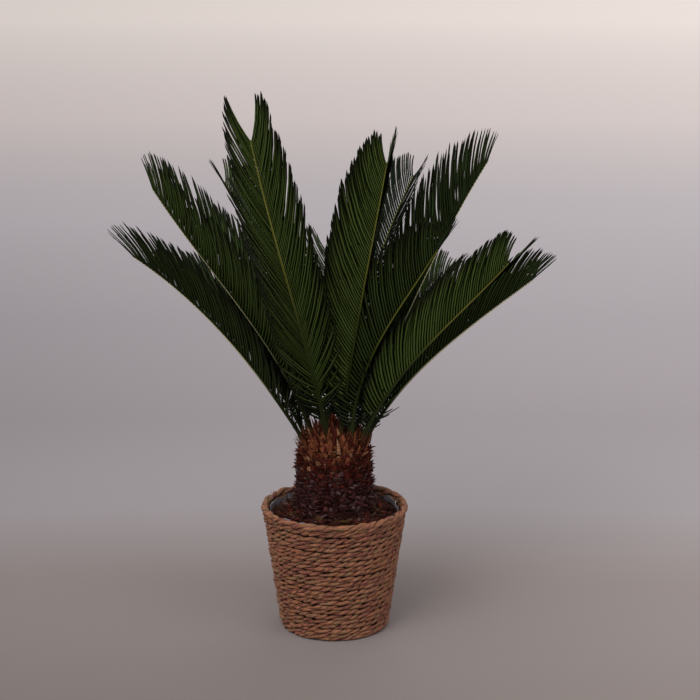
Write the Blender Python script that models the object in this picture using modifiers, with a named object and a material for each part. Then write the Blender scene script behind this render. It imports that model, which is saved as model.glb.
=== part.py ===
"""Sago palm in its pot: trunk, fronds, soil, liner and rope basket as closed solids.

Metres, Z up. The middle of the basket's underside is at the origin, and the viewer
stands on the -Y side.
"""

import math
from typing import NamedTuple

import bmesh
import bpy
import numpy as np
from mathutils import Vector
from mathutils.bvhtree import BVHTree

# Clearance between neighbours that touch
GAP = 0.0003

# Rope basket
BASKET_HEIGHT = 0.184
BASKET_TOP_RADIUS = 0.1052
BASKET_FOOT_RADIUS = 0.0786
BASKET_WALL = 0.0075
BASKET_FLOOR = 0.008
ROPE_ROWS = 23
ROPE_GROOVE = 0.0018
RIM_SWELL = 0.0016
RIM_HEIGHT = 0.011
RIM_INNER_DROP = 0.0033
RIM_OUTER_DROP = 0.0038
TURN_STEPS = 32

# Film liner and soil
LINER_THICKNESS = 0.0006
LINER_TOP = 0.1755
SOIL_EDGE_TOP = 0.1640
SOIL_COLLAR_TOP = 0.1745
SOIL_COLLAR_RADIUS = 0.0690
SOIL_COLLAR_STEP = 0.004
SOIL_DISH = 0.55

# Trunk, from its flat cut at soil level to its tip: radius and height of its outline
TRUNK_FOOT_Z = 0.1600
TRUNK_OUTLINE = (
    (0.0655, 0.1600),
    (0.0630, 0.1700),
    (0.0598, 0.1810),
    (0.0572, 0.1920),
    (0.0556, 0.2030),
    (0.0549, 0.2140),
    (0.0546, 0.2250),
    (0.0540, 0.2360),
    (0.0532, 0.2470),
    (0.0520, 0.2580),
    (0.0500, 0.2680),
    (0.0455, 0.2770),
    (0.0370, 0.2850),
    (0.0250, 0.2925),
    (0.0120, 0.2985),
)
TRUNK_TIP_Z = 0.3030
TRUNK_STEPS = 36
SCALE_RELIEF = 0.0021
SMOOTH_TIP_RADIUS = 0.020
CROWN_FOOT_Z = 0.250

# Frond ribs: half widths at the seat, at mid length and at the end
RIB_HALF_WIDTH_SEAT = 0.0046
RIB_HALF_WIDTH_MIDDLE = 0.0020
RIB_HALF_WIDTH_END = 0.0012
SOCKET_DEPTH = 0.010
SOCKET_RISE = 0.016

# Leaflets, as knots along the rib from its seat (0) to its end (1)
LEAFLET_PAIRS = 20
FIRST_LEAFLET = 0.085
LEAFLET_SHARE = 0.62
LEAFLET_KNOTS = (0.08, 0.15, 0.25, 0.35, 0.50, 0.65, 0.80, 0.90, 1.00)
LEAFLET_LENGTHS = (0.018, 0.046, 0.082, 0.104, 0.116, 0.112, 0.095, 0.075, 0.054)
LEAFLET_SWEEPS = (76.0, 64.0, 51.0, 44.0, 40.0, 38.0, 37.0, 36.0, 34.0)
LEAFLET_RISES = (8.0, 20.0, 36.0, 42.0, 42.0, 42.0, 42.0, 42.0, 42.0)
LEAFLET_FORWARD_BEND = 14.0
END_STARTS = 0.65
LEAFLET_WIDTH = 0.0082
LEAFLET_WIDEST_SHARE = 0.3
LEAFLET_THICKNESS = 0.0012
LEAFLET_BEND_AT = 0.52
LEAFLET_CLEARANCE = 0.0008
LEAFLET_TRIES = (1.0, 0.86, 0.72, 0.58, 0.44, 0.30)


class Frond(NamedTuple):
    """One frond: where its rib leaves the trunk, how it arches and rolls, and how full it is.

    Azimuths, elevations and the roll are in degrees, with azimuth 0 along +X and 90
    along +Y. A positive roll lifts the frond's anticlockwise side, seen from above.
    Fullness scales the length of its leaflets, and spread their angle to the rib. Towards
    the rib's end that length falls further, to the end share of itself.
    """

    azimuth: float
    drift: float
    rise_seat: float
    rise_middle: float
    rise_end: float
    length: float
    seat_radius: float
    roll: float = 0.0
    fullness: float = 1.0
    spread: float = 0.9
    end_share: float = 0.9


FRONDS = (
    Frond(252, -2, 63, 56.5, 64, 0.532, 0.030, 21, 1.15, 0.80, 1.0),
    Frond(294.2, -4.5, 75.6, 67.2, 65.6, 0.439, 0.024, 17, 1.22, 0.77, 0.82),
    Frond(310, 9.9, 87.6, 57, 56.4, 0.341, 0.038, -12, 1.10, 0.96, 0.88),
    Frond(355.7, 0, 66, 65.8, 59.1, 0.432, 0.028, -3, 1.38, 1.13, 0.74),
    Frond(197, 9.3, 72.2, 55, 58.2, 0.434, 0.033, -16, 1.24, 1.07, 0.80),
    Frond(332.7, -23.6, 67.1, 46.2, 44, 0.386, 0.043, -22, 0.99, 0.83, 1.08),
    Frond(188.4, 14.6, 58.6, 50.6, 36, 0.372, 0.044, -3, 1.03, 0.90, 1.0),
    Frond(352, -6.5, 62.4, 44, 39, 0.340, 0.0445, -22, 1.08, 0.84, 1.0),
    Frond(55, 0.8, 83, 61.9, 44.5, 0.393, 0.027, 1, 1.06, 0.97, 0.75),
    Frond(129, 6, 76, 54, 48, 0.400, 0.027),
    Frond(142, 0, 66, 52, 40, 0.360, 0.043),
    Frond(160, 0, 62, 46, 32, 0.315, 0.044),
    Frond(93, 0, 64, 42, 16, 0.345, 0.042),
    Frond(50, 0, 60, 42, 24, 0.300, 0.044),
    Frond(20, 0, 60, 40, 24, 0.300, 0.044),
)

# Colours and finishes
BASKET_FINISH = ("basket_rope", (0.42, 0.25, 0.13), 0.85)
LINER_FINISH = ("liner_film", (0.30, 0.31, 0.36), 0.35)
SOIL_FINISH = ("soil_bark", (0.050, 0.028, 0.022), 0.95)
TRUNK_FINISH = ("trunk_scales", (0.115, 0.042, 0.022), 0.90)
FROND_FINISH = ("frond_green", (0.030, 0.075, 0.018), 0.45)


def clear_scene():
    """Remove every object of the start-up scene."""
    for obj in list(bpy.data.objects):
        bpy.data.objects.remove(obj, do_unlink=True)


def make_collection(name):
    """Add a named collection to the scene."""
    collection = bpy.data.collections.new(name)
    bpy.context.scene.collection.children.link(collection)
    return collection


def make_material(finish):
    """Make a Principled material from a name, a base colour and a roughness."""
    name, colour, roughness = finish
    material = bpy.data.materials.new(name)
    material.use_nodes = True
    shader = material.node_tree.nodes["Principled BSDF"]
    shader.inputs["Base Color"].default_value = (*colour, 1.0)
    shader.inputs["Roughness"].default_value = roughness
    shader.inputs["Metallic"].default_value = 0.0
    return material


def add_object(name, mesh, collection, material=None):
    """Link a mesh as a named object."""
    obj = bpy.data.objects.new(name, mesh)
    collection.objects.link(obj)
    if material:
        mesh.materials.append(material)
    return obj


def turn_profile(name, points, steps, collection, material):
    """Turn a profile of (radius, height) points round the Z axis with a Screw modifier."""
    mesh = bpy.data.meshes.new(name)
    edges = [(i, i + 1) for i in range(len(points) - 1)]
    mesh.from_pydata([(r, 0.0, z) for r, z in points], edges, [])
    obj = add_object(name, mesh, collection, material)
    screw = obj.modifiers.new("turn", "SCREW")
    screw.steps = steps
    screw.render_steps = steps
    screw.use_merge_vertices = True
    screw.merge_threshold = 0.00005
    screw.use_smooth_shade = False
    return obj


def apply_modifiers(obj):
    """Bake an object's modifiers into its mesh."""
    depsgraph = bpy.context.evaluated_depsgraph_get()
    baked = bpy.data.meshes.new_from_object(obj.evaluated_get(depsgraph))
    obj.modifiers.clear()
    obj.data = baked


def basket_radius(z):
    """Outer radius of the basket's rope rows at a height."""
    return BASKET_FOOT_RADIUS + (BASKET_TOP_RADIUS - BASKET_FOOT_RADIUS) * z / BASKET_HEIGHT


def cavity_radius(z):
    """Inner radius of the basket's wall at a height."""
    return basket_radius(z) - BASKET_WALL


def basket_profile():
    """Floor, inner wall and rim, then the rope rows down the outside to the underside."""
    points = [(0.0, BASKET_FLOOR), (cavity_radius(BASKET_FLOOR), BASKET_FLOOR)]
    points.append((cavity_radius(BASKET_HEIGHT), BASKET_HEIGHT - RIM_INNER_DROP))
    points.append((BASKET_TOP_RADIUS - 0.5 * BASKET_WALL, BASKET_HEIGHT))
    points.append((BASKET_TOP_RADIUS + RIM_SWELL, BASKET_HEIGHT - RIM_OUTER_DROP))
    below_rim = BASKET_HEIGHT - RIM_HEIGHT
    points.append((basket_radius(below_rim) - ROPE_GROOVE, below_rim))
    row = below_rim / ROPE_ROWS
    for i in range(ROPE_ROWS):
        crest = below_rim - (i + 0.5) * row
        groove = below_rim - (i + 1) * row
        points.append((basket_radius(crest), crest))
        points.append((basket_radius(groove) - ROPE_GROOVE, groove))
    points.append((0.0, 0.0))
    return points


def liner_profile():
    """A thin film up the inside of the basket, open at the top."""
    floor = BASKET_FLOOR + GAP
    inside = floor + LINER_THICKNESS
    offset = GAP + LINER_THICKNESS
    return [
        (0.0, inside),
        (cavity_radius(inside) - offset, inside),
        (cavity_radius(LINER_TOP) - offset, LINER_TOP),
        (cavity_radius(LINER_TOP) - GAP, LINER_TOP),
        (cavity_radius(floor) - GAP, floor),
        (0.0, floor),
    ]


def soil_profile():
    """The fill: a flat seat under the trunk, a collar round its foot, and a dished edge."""
    clear = 2 * GAP + LINER_THICKNESS
    floor = BASKET_FLOOR + clear
    seat = TRUNK_FOOT_Z - GAP
    foot = TRUNK_OUTLINE[0][0] + GAP
    middle = 0.5 * (SOIL_COLLAR_RADIUS + cavity_radius(SOIL_EDGE_TOP))
    return [
        (0.0, seat),
        (foot, seat),
        (foot, SOIL_COLLAR_TOP - SOIL_COLLAR_STEP),
        (SOIL_COLLAR_RADIUS, SOIL_COLLAR_TOP),
        (middle, SOIL_COLLAR_TOP + SOIL_DISH * (SOIL_EDGE_TOP - SOIL_COLLAR_TOP)),
        (cavity_radius(SOIL_EDGE_TOP) - clear, SOIL_EDGE_TOP),
        (cavity_radius(floor) - clear, floor),
        (0.0, floor),
    ]


def trunk_surface(radius):
    """Height of the trunk's crown at a distance from its axis."""
    crown = [p for p in reversed(TRUNK_OUTLINE) if p[1] > CROWN_FOOT_Z]
    radii = [0.0] + [r for r, _ in crown]
    heights = [TRUNK_TIP_Z] + [z for _, z in crown]
    return float(np.interp(radius, radii, heights))


def stud_trunk(mesh):
    """Raise alternate corners of the turned trunk into the studs of old leaf bases."""
    bm = bmesh.new()
    bm.from_mesh(mesh)
    heights = sorted({round(vert.co.z, 5) for vert in bm.verts})
    hollows = set()
    for vert in bm.verts:
        across = Vector((vert.co.x, vert.co.y, 0.0))
        row = heights.index(round(vert.co.z, 5))
        column = round(math.atan2(vert.co.y, vert.co.x) / math.tau * TRUNK_STEPS)
        raised = (row + column) % 2
        if not raised:
            hollows.add(vert)
        if row and across.length > SMOOTH_TIP_RADIUS:
            vert.co += across.normalized() * (SCALE_RELIEF if raised else -SCALE_RELIEF)
    for face in [face for face in bm.faces if len(face.verts) == 4]:
        ends = [vert for vert in face.verts if vert in hollows]
        if len(ends) == 2:
            bmesh.utils.face_split(face, *ends)
    bm.to_mesh(mesh)
    bm.free()


def build_trunk(collection, material, cutters):
    """The trunk, with a socket for the foot of each frond."""
    profile = [(0.0, TRUNK_TIP_Z), *reversed(TRUNK_OUTLINE), (0.0, TRUNK_FOOT_Z)]
    trunk = turn_profile("trunk", profile, TRUNK_STEPS, collection, material)
    apply_modifiers(trunk)
    stud_trunk(trunk.data)
    sockets = trunk.modifiers.new("sockets", "BOOLEAN")
    sockets.operation = "DIFFERENCE"
    sockets.operand_type = "COLLECTION"
    sockets.collection = cutters
    sockets.solver = "EXACT"
    return trunk


class RibFrame(NamedTuple):
    """A place on a rib, with its directions along, sideways and to the upper side."""

    place: Vector
    along: Vector
    side: Vector
    upper: Vector


def rib_rise(frond, s):
    """Elevation of a rib at a share s of its length, through its three stated values."""
    arch = frond.rise_middle - 0.5 * (frond.rise_seat + frond.rise_end)
    straight = frond.rise_seat + (frond.rise_end - frond.rise_seat) * s
    return math.radians(straight + 4.0 * arch * s * (1.0 - s))


def frame_directions(frond, s):
    """The directions along, sideways and to the upper side of a rib."""
    rise = rib_rise(frond, max(s, 0.0))
    azimuth = math.radians(frond.azimuth + frond.drift * max(s, 0.0))
    outward = Vector((math.cos(azimuth), math.sin(azimuth), 0.0))
    along = outward * math.cos(rise) + Vector((0, 0, math.sin(rise)))
    level = Vector((-math.sin(azimuth), math.cos(azimuth), 0.0))
    roll = math.radians(frond.roll)
    side = level * math.cos(roll) + along.cross(level) * math.sin(roll)
    return along, side, along.cross(side)


def rib_frames(frond, shares):
    """Frames at growing shares of a rib, the first one below the seat, in its socket."""
    azimuth = math.radians(frond.azimuth)
    seat = Vector((math.cos(azimuth), math.sin(azimuth), 0.0)) * frond.seat_radius
    seat.z = trunk_surface(frond.seat_radius)
    place = seat + frame_directions(frond, 0.0)[0] * shares[0] * frond.length
    frames = [RibFrame(place.copy(), *frame_directions(frond, shares[0]))]
    for before, after in zip(shares, shares[1:]):
        middle = frame_directions(frond, 0.5 * (before + after))[0]
        place += middle * (after - before) * frond.length
        frames.append(RibFrame(place.copy(), *frame_directions(frond, after)))
    return frames


def rib_half_width(s):
    """Half width of a rib at a share of its length."""
    widths = (RIB_HALF_WIDTH_SEAT, RIB_HALF_WIDTH_MIDDLE, RIB_HALF_WIDTH_END)
    return float(np.interp(s, (0.0, 0.5, 1.0), widths))


def rib_corners(frame, half_width, swell=0.0):
    """Three corners of a rib's section: a flat back and a ridge on the upper side."""
    radius = half_width * 2.0 / math.sqrt(3.0) + 2.0 * swell
    corners = []
    for turn in (90.0, 210.0, 330.0):
        across = frame.side * math.cos(math.radians(turn))
        upward = frame.upper * math.sin(math.radians(turn))
        corners.append(frame.place + (across + upward) * radius)
    return corners


def grow(bm, face, places):
    """Extrude one face and move its corners, in their order, to new places."""
    cap = bmesh.ops.extrude_discrete_faces(bm, faces=[face])["faces"][0]
    for vert, place in zip(cap.verts, places):
        vert.co = place
    return cap


def start_tube(bm, places):
    """A first section for a tube: its face, and its edges to close later."""
    ring = bmesh.ops.create_circle(bm, cap_ends=True, radius=1.0, segments=len(places))
    face = ring["verts"][0].link_faces[0]
    for vert, place in zip(face.verts, places):
        vert.co = place
    return face, list(face.edges)


def walls_beside(cap, frame):
    """The two walls under a rib's end face that carry leaflets, keyed by side."""
    walls = [f for edge in cap.edges for f in edge.link_faces if f is not cap]
    walls.sort(key=lambda wall: (wall.calc_center_median() - frame.place).dot(frame.side))
    return {-1: walls[0], 1: walls[-1]}


def leaflet_shares():
    """Start and end of each leaflet pair's stretch of rib, as shares of its length."""
    pitch = (1.0 - FIRST_LEAFLET) / (LEAFLET_PAIRS - 1 + LEAFLET_SHARE)
    starts = [FIRST_LEAFLET + i * pitch for i in range(LEAFLET_PAIRS)]
    return [(start, start + pitch * LEAFLET_SHARE) for start in starts]


def build_rib(frond):
    """A frond's bare rib, and the walls of each leaflet pair."""
    stretches = leaflet_shares()
    shares = [-SOCKET_DEPTH / frond.length, 0.0] + [s for pair in stretches for s in pair]
    frames = rib_frames(frond, shares)
    bm = bmesh.new()
    face, open_edges = start_tube(bm, rib_corners(frames[0], rib_half_width(0.0)))
    pairs = []
    for i in range(1, len(frames)):
        face = grow(bm, face, rib_corners(frames[i], rib_half_width(shares[i])))
        if i >= 3 and i % 2:
            walls = walls_beside(face, frames[i])
            pairs.append((0.5 * (shares[i - 1] + shares[i]), frames[i - 1], frames[i], walls))
    bmesh.ops.contextual_create(bm, geom=open_edges)
    bmesh.ops.recalc_face_normals(bm, faces=bm.faces)
    return bm, pairs


def leaflet_direction(frame, side, rise, sweep):
    """Directions along and across a leaflet, from its rise and its sweep off the rib."""
    outward = frame.side * side * math.cos(rise) + frame.upper * math.sin(rise)
    angle = math.radians(sweep)
    along = frame.along * math.cos(angle) + outward * math.sin(angle)
    across = frame.along * math.sin(angle) - outward * math.cos(angle)
    return along, across


class Leaflet(NamedTuple):
    """The places of one leaflet: corners where it bends, and its tip."""

    corners: list
    tip: Vector


def shape_leaflet(wall, near, far, s, side, scale, spread, margin):
    """Corners of a leaflet, its knot length scaled, that grows from a wall of the rib."""
    length = float(np.interp(s, LEAFLET_KNOTS, LEAFLET_LENGTHS)) * scale
    sweep = float(np.interp(s, LEAFLET_KNOTS, LEAFLET_SWEEPS)) * spread
    rise = math.radians(float(np.interp(s, LEAFLET_KNOTS, LEAFLET_RISES)))
    root = wall.calc_center_median()
    along, across = leaflet_direction(far, side, rise, sweep)
    ahead, _ = leaflet_direction(far, side, rise, sweep - LEAFLET_FORWARD_BEND)
    thick = along.cross(across).normalized()
    if thick.dot(far.upper) < 0.0:
        thick = -thick
    half_width = 0.5 * min(LEAFLET_WIDTH, LEAFLET_WIDEST_SHARE * length) + margin
    half_thick = 0.5 * LEAFLET_THICKNESS + margin
    bend = root + along * length * LEAFLET_BEND_AT
    corners = []
    for vert in wall.verts:
        offset = vert.co - root
        towards_end = 1.0 if offset.dot(near.along) > 0.0 else -1.0
        to_upper = 1.0 if offset.dot(far.upper) > 0.0 else -1.0
        corners.append(bend + across * towards_end * half_width + thick * to_upper * half_thick)
    return Leaflet(corners, bend + ahead * (length * (1.0 - LEAFLET_BEND_AT) + margin))


def leaflet_tree(wall, leaflet):
    """A search tree of a leaflet's whole surface, from its wall to its tip."""
    start = [vert.co for vert in wall.verts]
    places = [*start, *leaflet.corners, leaflet.tip]
    count = len(start)
    faces = [(i, (i + 1) % count, count + (i + 1) % count, count + i) for i in range(count)]
    faces += [(count + i, count + (i + 1) % count, 2 * count) for i in range(count)]
    return BVHTree.FromPolygons(places, faces)


def grow_leaflet(bm, wall, leaflet):
    """Extrude a leaflet from its wall and draw it to a point."""
    cap = grow(bm, wall, leaflet.corners)
    cap = grow(bm, cap, [leaflet.tip] * len(cap.verts))
    bmesh.ops.pointmerge(bm, verts=list(cap.verts), merge_co=leaflet.tip)


def add_leaflets(bm, pairs, frond, obstacles):
    """Grow both rows of leaflets, each as long as its neighbours leave room for."""
    for s, near, far, walls in pairs:
        for side, wall in walls.items():
            for share in LEAFLET_TRIES:
                end = float(np.interp(s, (END_STARTS, 1.0), (1.0, frond.end_share)))
                scale = frond.fullness * end * share
                trial = shape_leaflet(wall, near, far, s, side, scale, frond.spread, LEAFLET_CLEARANCE)
                tree = leaflet_tree(wall, trial)
                if not any(tree.overlap(other) for other in obstacles):
                    leaflet = shape_leaflet(wall, near, far, s, side, scale, frond.spread, 0.0)
                    grow_leaflet(bm, wall, leaflet)
                    break


def build_socket(name, frond, cutters):
    """A cutter a gap larger than a frond's foot, which runs out of the trunk."""
    shares = [-(SOCKET_DEPTH + GAP) / frond.length, 0.0, SOCKET_RISE / frond.length]
    frames = rib_frames(frond, shares)
    bm = bmesh.new()
    face, open_edges = start_tube(bm, rib_corners(frames[0], RIB_HALF_WIDTH_SEAT, GAP))
    for frame, s in zip(frames[1:], shares[1:]):
        face = grow(bm, face, rib_corners(frame, rib_half_width(s), GAP))
    bmesh.ops.contextual_create(bm, geom=open_edges)
    bmesh.ops.recalc_face_normals(bm, faces=bm.faces)
    mesh = bpy.data.meshes.new(name)
    bm.to_mesh(mesh)
    bm.free()
    cutter = add_object(name, mesh, cutters)
    cutter.display_type = "WIRE"
    cutter.hide_render = True


def build_fronds(collection, material, trunk):
    """All the fronds, each clear of the trunk, of the other ribs and of earlier leaflets."""
    depsgraph = bpy.context.evaluated_depsgraph_get()
    trunk_tree = BVHTree.FromObject(trunk, depsgraph)
    ribs = [build_rib(frond) for frond in FRONDS]
    trees = [BVHTree.FromBMesh(bm) for bm, _ in ribs]
    for i, (bm, pairs) in enumerate(ribs):
        others = [tree for j, tree in enumerate(trees) if j != i]
        add_leaflets(bm, pairs, FRONDS[i], [trunk_tree, *others])
        bmesh.ops.recalc_face_normals(bm, faces=bm.faces)
        trees[i] = BVHTree.FromBMesh(bm)
        mesh = bpy.data.meshes.new(f"frond_{i + 1:02d}")
        bm.to_mesh(mesh)
        bm.free()
        add_object(f"frond_{i + 1:02d}", mesh, collection, material)


def main():
    """Build the potted sago palm."""
    clear_scene()
    palm = make_collection("potted_sago_palm")
    cutters = make_collection("cutters")
    turn_profile("basket", basket_profile(), TURN_STEPS, palm, make_material(BASKET_FINISH))
    turn_profile("liner", liner_profile(), TURN_STEPS, palm, make_material(LINER_FINISH))
    turn_profile("soil", soil_profile(), TURN_STEPS, palm, make_material(SOIL_FINISH))
    for i, frond in enumerate(FRONDS):
        build_socket(f"socket_{i + 1:02d}", frond, cutters)
    trunk = build_trunk(palm, make_material(TRUNK_FINISH), cutters)
    build_fronds(palm, make_material(FROND_FINISH), trunk)


if __name__ == "__main__":
    main()
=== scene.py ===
"""Looks of the sago palm in its rope basket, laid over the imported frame.

Metres, Z up. The middle of the basket's underside is at the origin, and the viewer
stands on the -Y side.
"""

import logging
import math
from dataclasses import dataclass, field
from enum import Enum
from typing import Callable, Optional, Sequence

import bpy
import numpy as np
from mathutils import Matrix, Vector, noise


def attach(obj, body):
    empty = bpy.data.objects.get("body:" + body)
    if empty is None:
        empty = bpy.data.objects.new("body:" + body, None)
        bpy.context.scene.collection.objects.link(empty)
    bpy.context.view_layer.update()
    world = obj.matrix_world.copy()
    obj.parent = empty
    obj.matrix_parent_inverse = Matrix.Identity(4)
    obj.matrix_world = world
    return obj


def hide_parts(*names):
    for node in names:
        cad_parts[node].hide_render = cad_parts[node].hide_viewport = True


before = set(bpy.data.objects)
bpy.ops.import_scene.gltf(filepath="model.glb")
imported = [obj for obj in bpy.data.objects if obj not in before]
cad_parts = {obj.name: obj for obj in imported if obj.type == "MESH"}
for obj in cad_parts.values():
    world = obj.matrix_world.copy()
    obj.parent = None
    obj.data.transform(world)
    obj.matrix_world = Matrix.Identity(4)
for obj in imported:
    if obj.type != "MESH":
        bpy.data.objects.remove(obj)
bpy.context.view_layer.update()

Array = np.ndarray
Draws = np.random.Generator
Mesh = bpy.types.Mesh
Material = bpy.types.Material
Socket = bpy.types.NodeSocket
Colour = tuple[float, float, float]
Triple = tuple[float, float, float]
Pair = tuple[float, float]

LOG = logging.getLogger("sago_palm")
UP = np.array([0.0, 0.0, 1.0])
QUARTER_TURN = 0.5 * math.pi


@dataclass(frozen=True)
class Curve:
    """A measure that changes along something, straight from knot to knot."""

    at: tuple[float, ...]
    values: tuple[float, ...]

    def __call__(self, places: Array) -> Array:
        """The measure at some places."""
        return np.interp(places, self.at, self.values)


# Basket, as in the solids
BASKET_HEIGHT = 0.184
BASKET_TOP_RADIUS = 0.1052
BASKET_FOOT_RADIUS = 0.0786
BASKET_WALL = 0.0075
BASKET_RADIUS = Curve((0.0, BASKET_HEIGHT), (BASKET_FOOT_RADIUS, BASKET_TOP_RADIUS))
RIM_HEIGHT = 0.011
ROPE_ROWS = 23
LINER_TOP = 0.1755

# Trunk, as in the solids: its radius by height, and the height of its crown by radius
TRUNK_TIP_Z = 0.3030
TRUNK_RADIUS = Curve(
    (0.160, 0.170, 0.181, 0.192, 0.203, 0.214, 0.225, 0.236, 0.247)
    + (0.258, 0.268, 0.277, 0.285, 0.2925, 0.2985, TRUNK_TIP_Z),
    (0.0655, 0.0630, 0.0598, 0.0572, 0.0556, 0.0549, 0.0546, 0.0540, 0.0532)
    + (0.0520, 0.0500, 0.0455, 0.0370, 0.0250, 0.0120, 0.0),
)
CROWN_HEIGHT = Curve(TRUNK_RADIUS.values[:8:-1], TRUNK_RADIUS.at[:8:-1])

# Golden angle, by which scales and leaves follow each other round the trunk
GOLDEN_TURN = math.radians(137.508)


def unit(vectors: Array) -> Array:
    """Vectors at length one, along the last axis."""
    return vectors / np.maximum(np.linalg.norm(vectors, axis=-1, keepdims=True), 1e-12)


def polar(angle: Array, radius: Array, z: Array) -> Array:
    """Points at an angle about the Z axis, a distance from it and a height."""
    return np.stack(np.broadcast_arrays(radius * np.cos(angle), radius * np.sin(angle), z), -1)


def radial(angle: Array) -> Array:
    """Level directions at angles about the Z axis."""
    return polar(angle, 1.0, 0.0)


def full_turn(columns: int) -> Array:
    """Evenly spaced angles of a closed ring."""
    return np.arange(columns) / columns * math.tau


def waves(angle: Array, rng: Draws, turns: Sequence[float]) -> Array:
    """A smooth uneven curve between about -1 and 1, made of waves with so many per turn."""
    total = sum(np.sin(turn * angle + rng.uniform(0, math.tau)) for turn in turns)
    return total / math.sqrt(len(turns))


def uneven(places: Array, coarse: Triple, fine: Triple, fine_share: float = 0.6) -> Array:
    """Smooth unevenness at points, from a coarse noise pattern and a weaker fine one."""
    pairs = ((Vector(place * coarse), Vector(place * fine)) for place in places)
    return np.array([noise.noise(first) + fine_share * noise.noise(second) for first, second in pairs])


def grow(root: Array, ahead: Array, shares: Array, length: Array) -> Array:
    """Lines from roots that follow a heading at each station, given as shares of their length."""
    steps = 0.5 * (ahead[:, 1:] + ahead[:, :-1]) * np.diff(shares)[:, None] * length[:, None, None]
    return np.concatenate([root[:, None], root[:, None] + np.cumsum(steps, axis=1)], axis=1)


def tube_rings(centres: Array, facing: Array, half_out: Array, half_across: Array, sides: int) -> Array:
    """Rings of points round centre lines, for tubes and strands.

    Args:
        centres: Centre lines, shapes x stations x 3.
        facing: Direction that the rings' first point takes.
        half_out: Half size along facing, shapes x stations.
        half_across: Half size across it, shapes x stations.
        sides: Points in a ring.

    Returns:
        Rings, shapes x stations x sides x 3.
    """
    ahead = unit(np.gradient(centres, axis=1))
    out = unit(facing - ahead * (facing * ahead).sum(-1, keepdims=True))
    across = np.cross(ahead, out)
    turn = full_turn(sides)[:, None]
    round_out = half_out[..., None, None] * np.cos(turn) * out[..., None, :]
    round_across = half_across[..., None, None] * np.sin(turn) * across[..., None, :]
    return centres[..., None, :] + round_out + round_across


class Pile:
    """Many small closed shapes, gathered from arrays and joined into one mesh."""

    def __init__(self) -> None:
        """Start with nothing in the pile."""
        self.rows: list[tuple[Array, ...]] = []
        self.total = 0

    def add_lofts(
        self,
        rings: Array,
        tips: Optional[Array] = None,
        slots: Array = 0,
        along: Optional[Array] = None,
        marks: Optional[Array] = None,
    ) -> "Pile":
        """Add closed shapes, each lofted through rings of points.

        Args:
            rings: Points, as shapes x stations x sides x 3, anticlockwise about the way
                that the shape grows.
            tips: End point of each shape, or None for a flat end.
            slots: Material slot of each shape's sides, shapes x sides.
            along: UV length at each station and the tip, shapes x stations + 1.
            marks: UV offset that tells one shape from the next.

        Returns:
            The pile itself.
        """
        shapes, stations, sides = rings.shape[:3]
        ring = np.arange(sides)
        following = (ring + 1) % sides
        low = np.arange(stations - 1)[:, None] * sides
        quads = np.stack([low + ring, low + following, low + sides + following, low + sides + ring], -1)
        last, tip = (stations - 1) * sides, stations * sides
        points = rings.reshape(shapes, -1, 3)
        end, end_sizes, end_sides = last + ring, [sides], [0]
        if tips is not None:
            end = np.stack([last + ring, last + following, np.full(sides, tip)], -1).ravel()
            end_sizes, end_sides = [3] * sides, ring
            points = np.concatenate([points, tips[:, None]], axis=1)
        corners = np.concatenate([quads.ravel(), ring[::-1], end])
        sizes = np.concatenate([np.full((stations - 1) * sides, 4), [sides], end_sizes])
        side_of_face = np.concatenate([np.tile(ring, stations - 1), [0], end_sides])
        slots = np.broadcast_to(slots, (shapes, sides))[:, side_of_face]
        around = (corners % sides).astype(float)
        wrapped = np.tile([0, 1, 1, 0], quads.size // 4) * (around[: quads.size] == 0)
        around[: quads.size] += wrapped * sides
        around[corners == tip] = 0.5 * sides
        along = np.linspace(0, 1, stations + 1)[None] if along is None else along
        along = np.broadcast_to(along, (shapes, stations + 1))[:, corners // sides]
        marks = np.arange(shapes) if marks is None else marks
        uvs = np.stack([along, marks[:, None] + around / sides], -1)
        starts = self.total + np.arange(shapes)[:, None] * points.shape[1]
        self.total += shapes * points.shape[1]
        rows = (points, uvs, starts + corners, np.tile(sizes, shapes), slots)
        self.rows.append(tuple(row.ravel() for row in rows))
        return self

    def mesh(self, name: str) -> Mesh:
        """The joined mesh, with a UV map along and around each shape.

        Args:
            name: The mesh's name.

        Returns:
            The mesh.
        """
        points, uvs, corners, sizes, slots = (
            np.concatenate(rows).astype(np.float32 if index < 2 else np.int32)
            for index, rows in enumerate(zip(*self.rows))
        )
        mesh = bpy.data.meshes.new(name)
        mesh.vertices.add(self.total)
        mesh.vertices.foreach_set("co", points)
        mesh.loops.add(len(corners))
        mesh.loops.foreach_set("vertex_index", corners)
        mesh.polygons.add(len(sizes))
        mesh.polygons.foreach_set("loop_start", np.cumsum(sizes) - sizes)
        mesh.polygons.foreach_set("material_index", slots)
        mesh.uv_layers.new(name="along").data.foreach_set("uv", uvs)
        mesh.update(calc_edges=True)
        mesh.validate()
        return mesh


def select_only(piece: bpy.types.Object) -> None:
    """Make one object the only selected and the active one.

    Args:
        piece: The object.
    """
    bpy.ops.object.select_all(action="DESELECT")
    piece.select_set(True)
    bpy.context.view_layer.objects.active = piece


def link(name: str, data: bpy.types.ID) -> bpy.types.Object:
    """Put a mesh, a lamp or a camera in the scene.

    Args:
        name: The object's name.
        data: What it holds.

    Returns:
        The object.
    """
    made = bpy.data.objects.new(name, data)
    bpy.context.scene.collection.objects.link(made)
    return made


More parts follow.
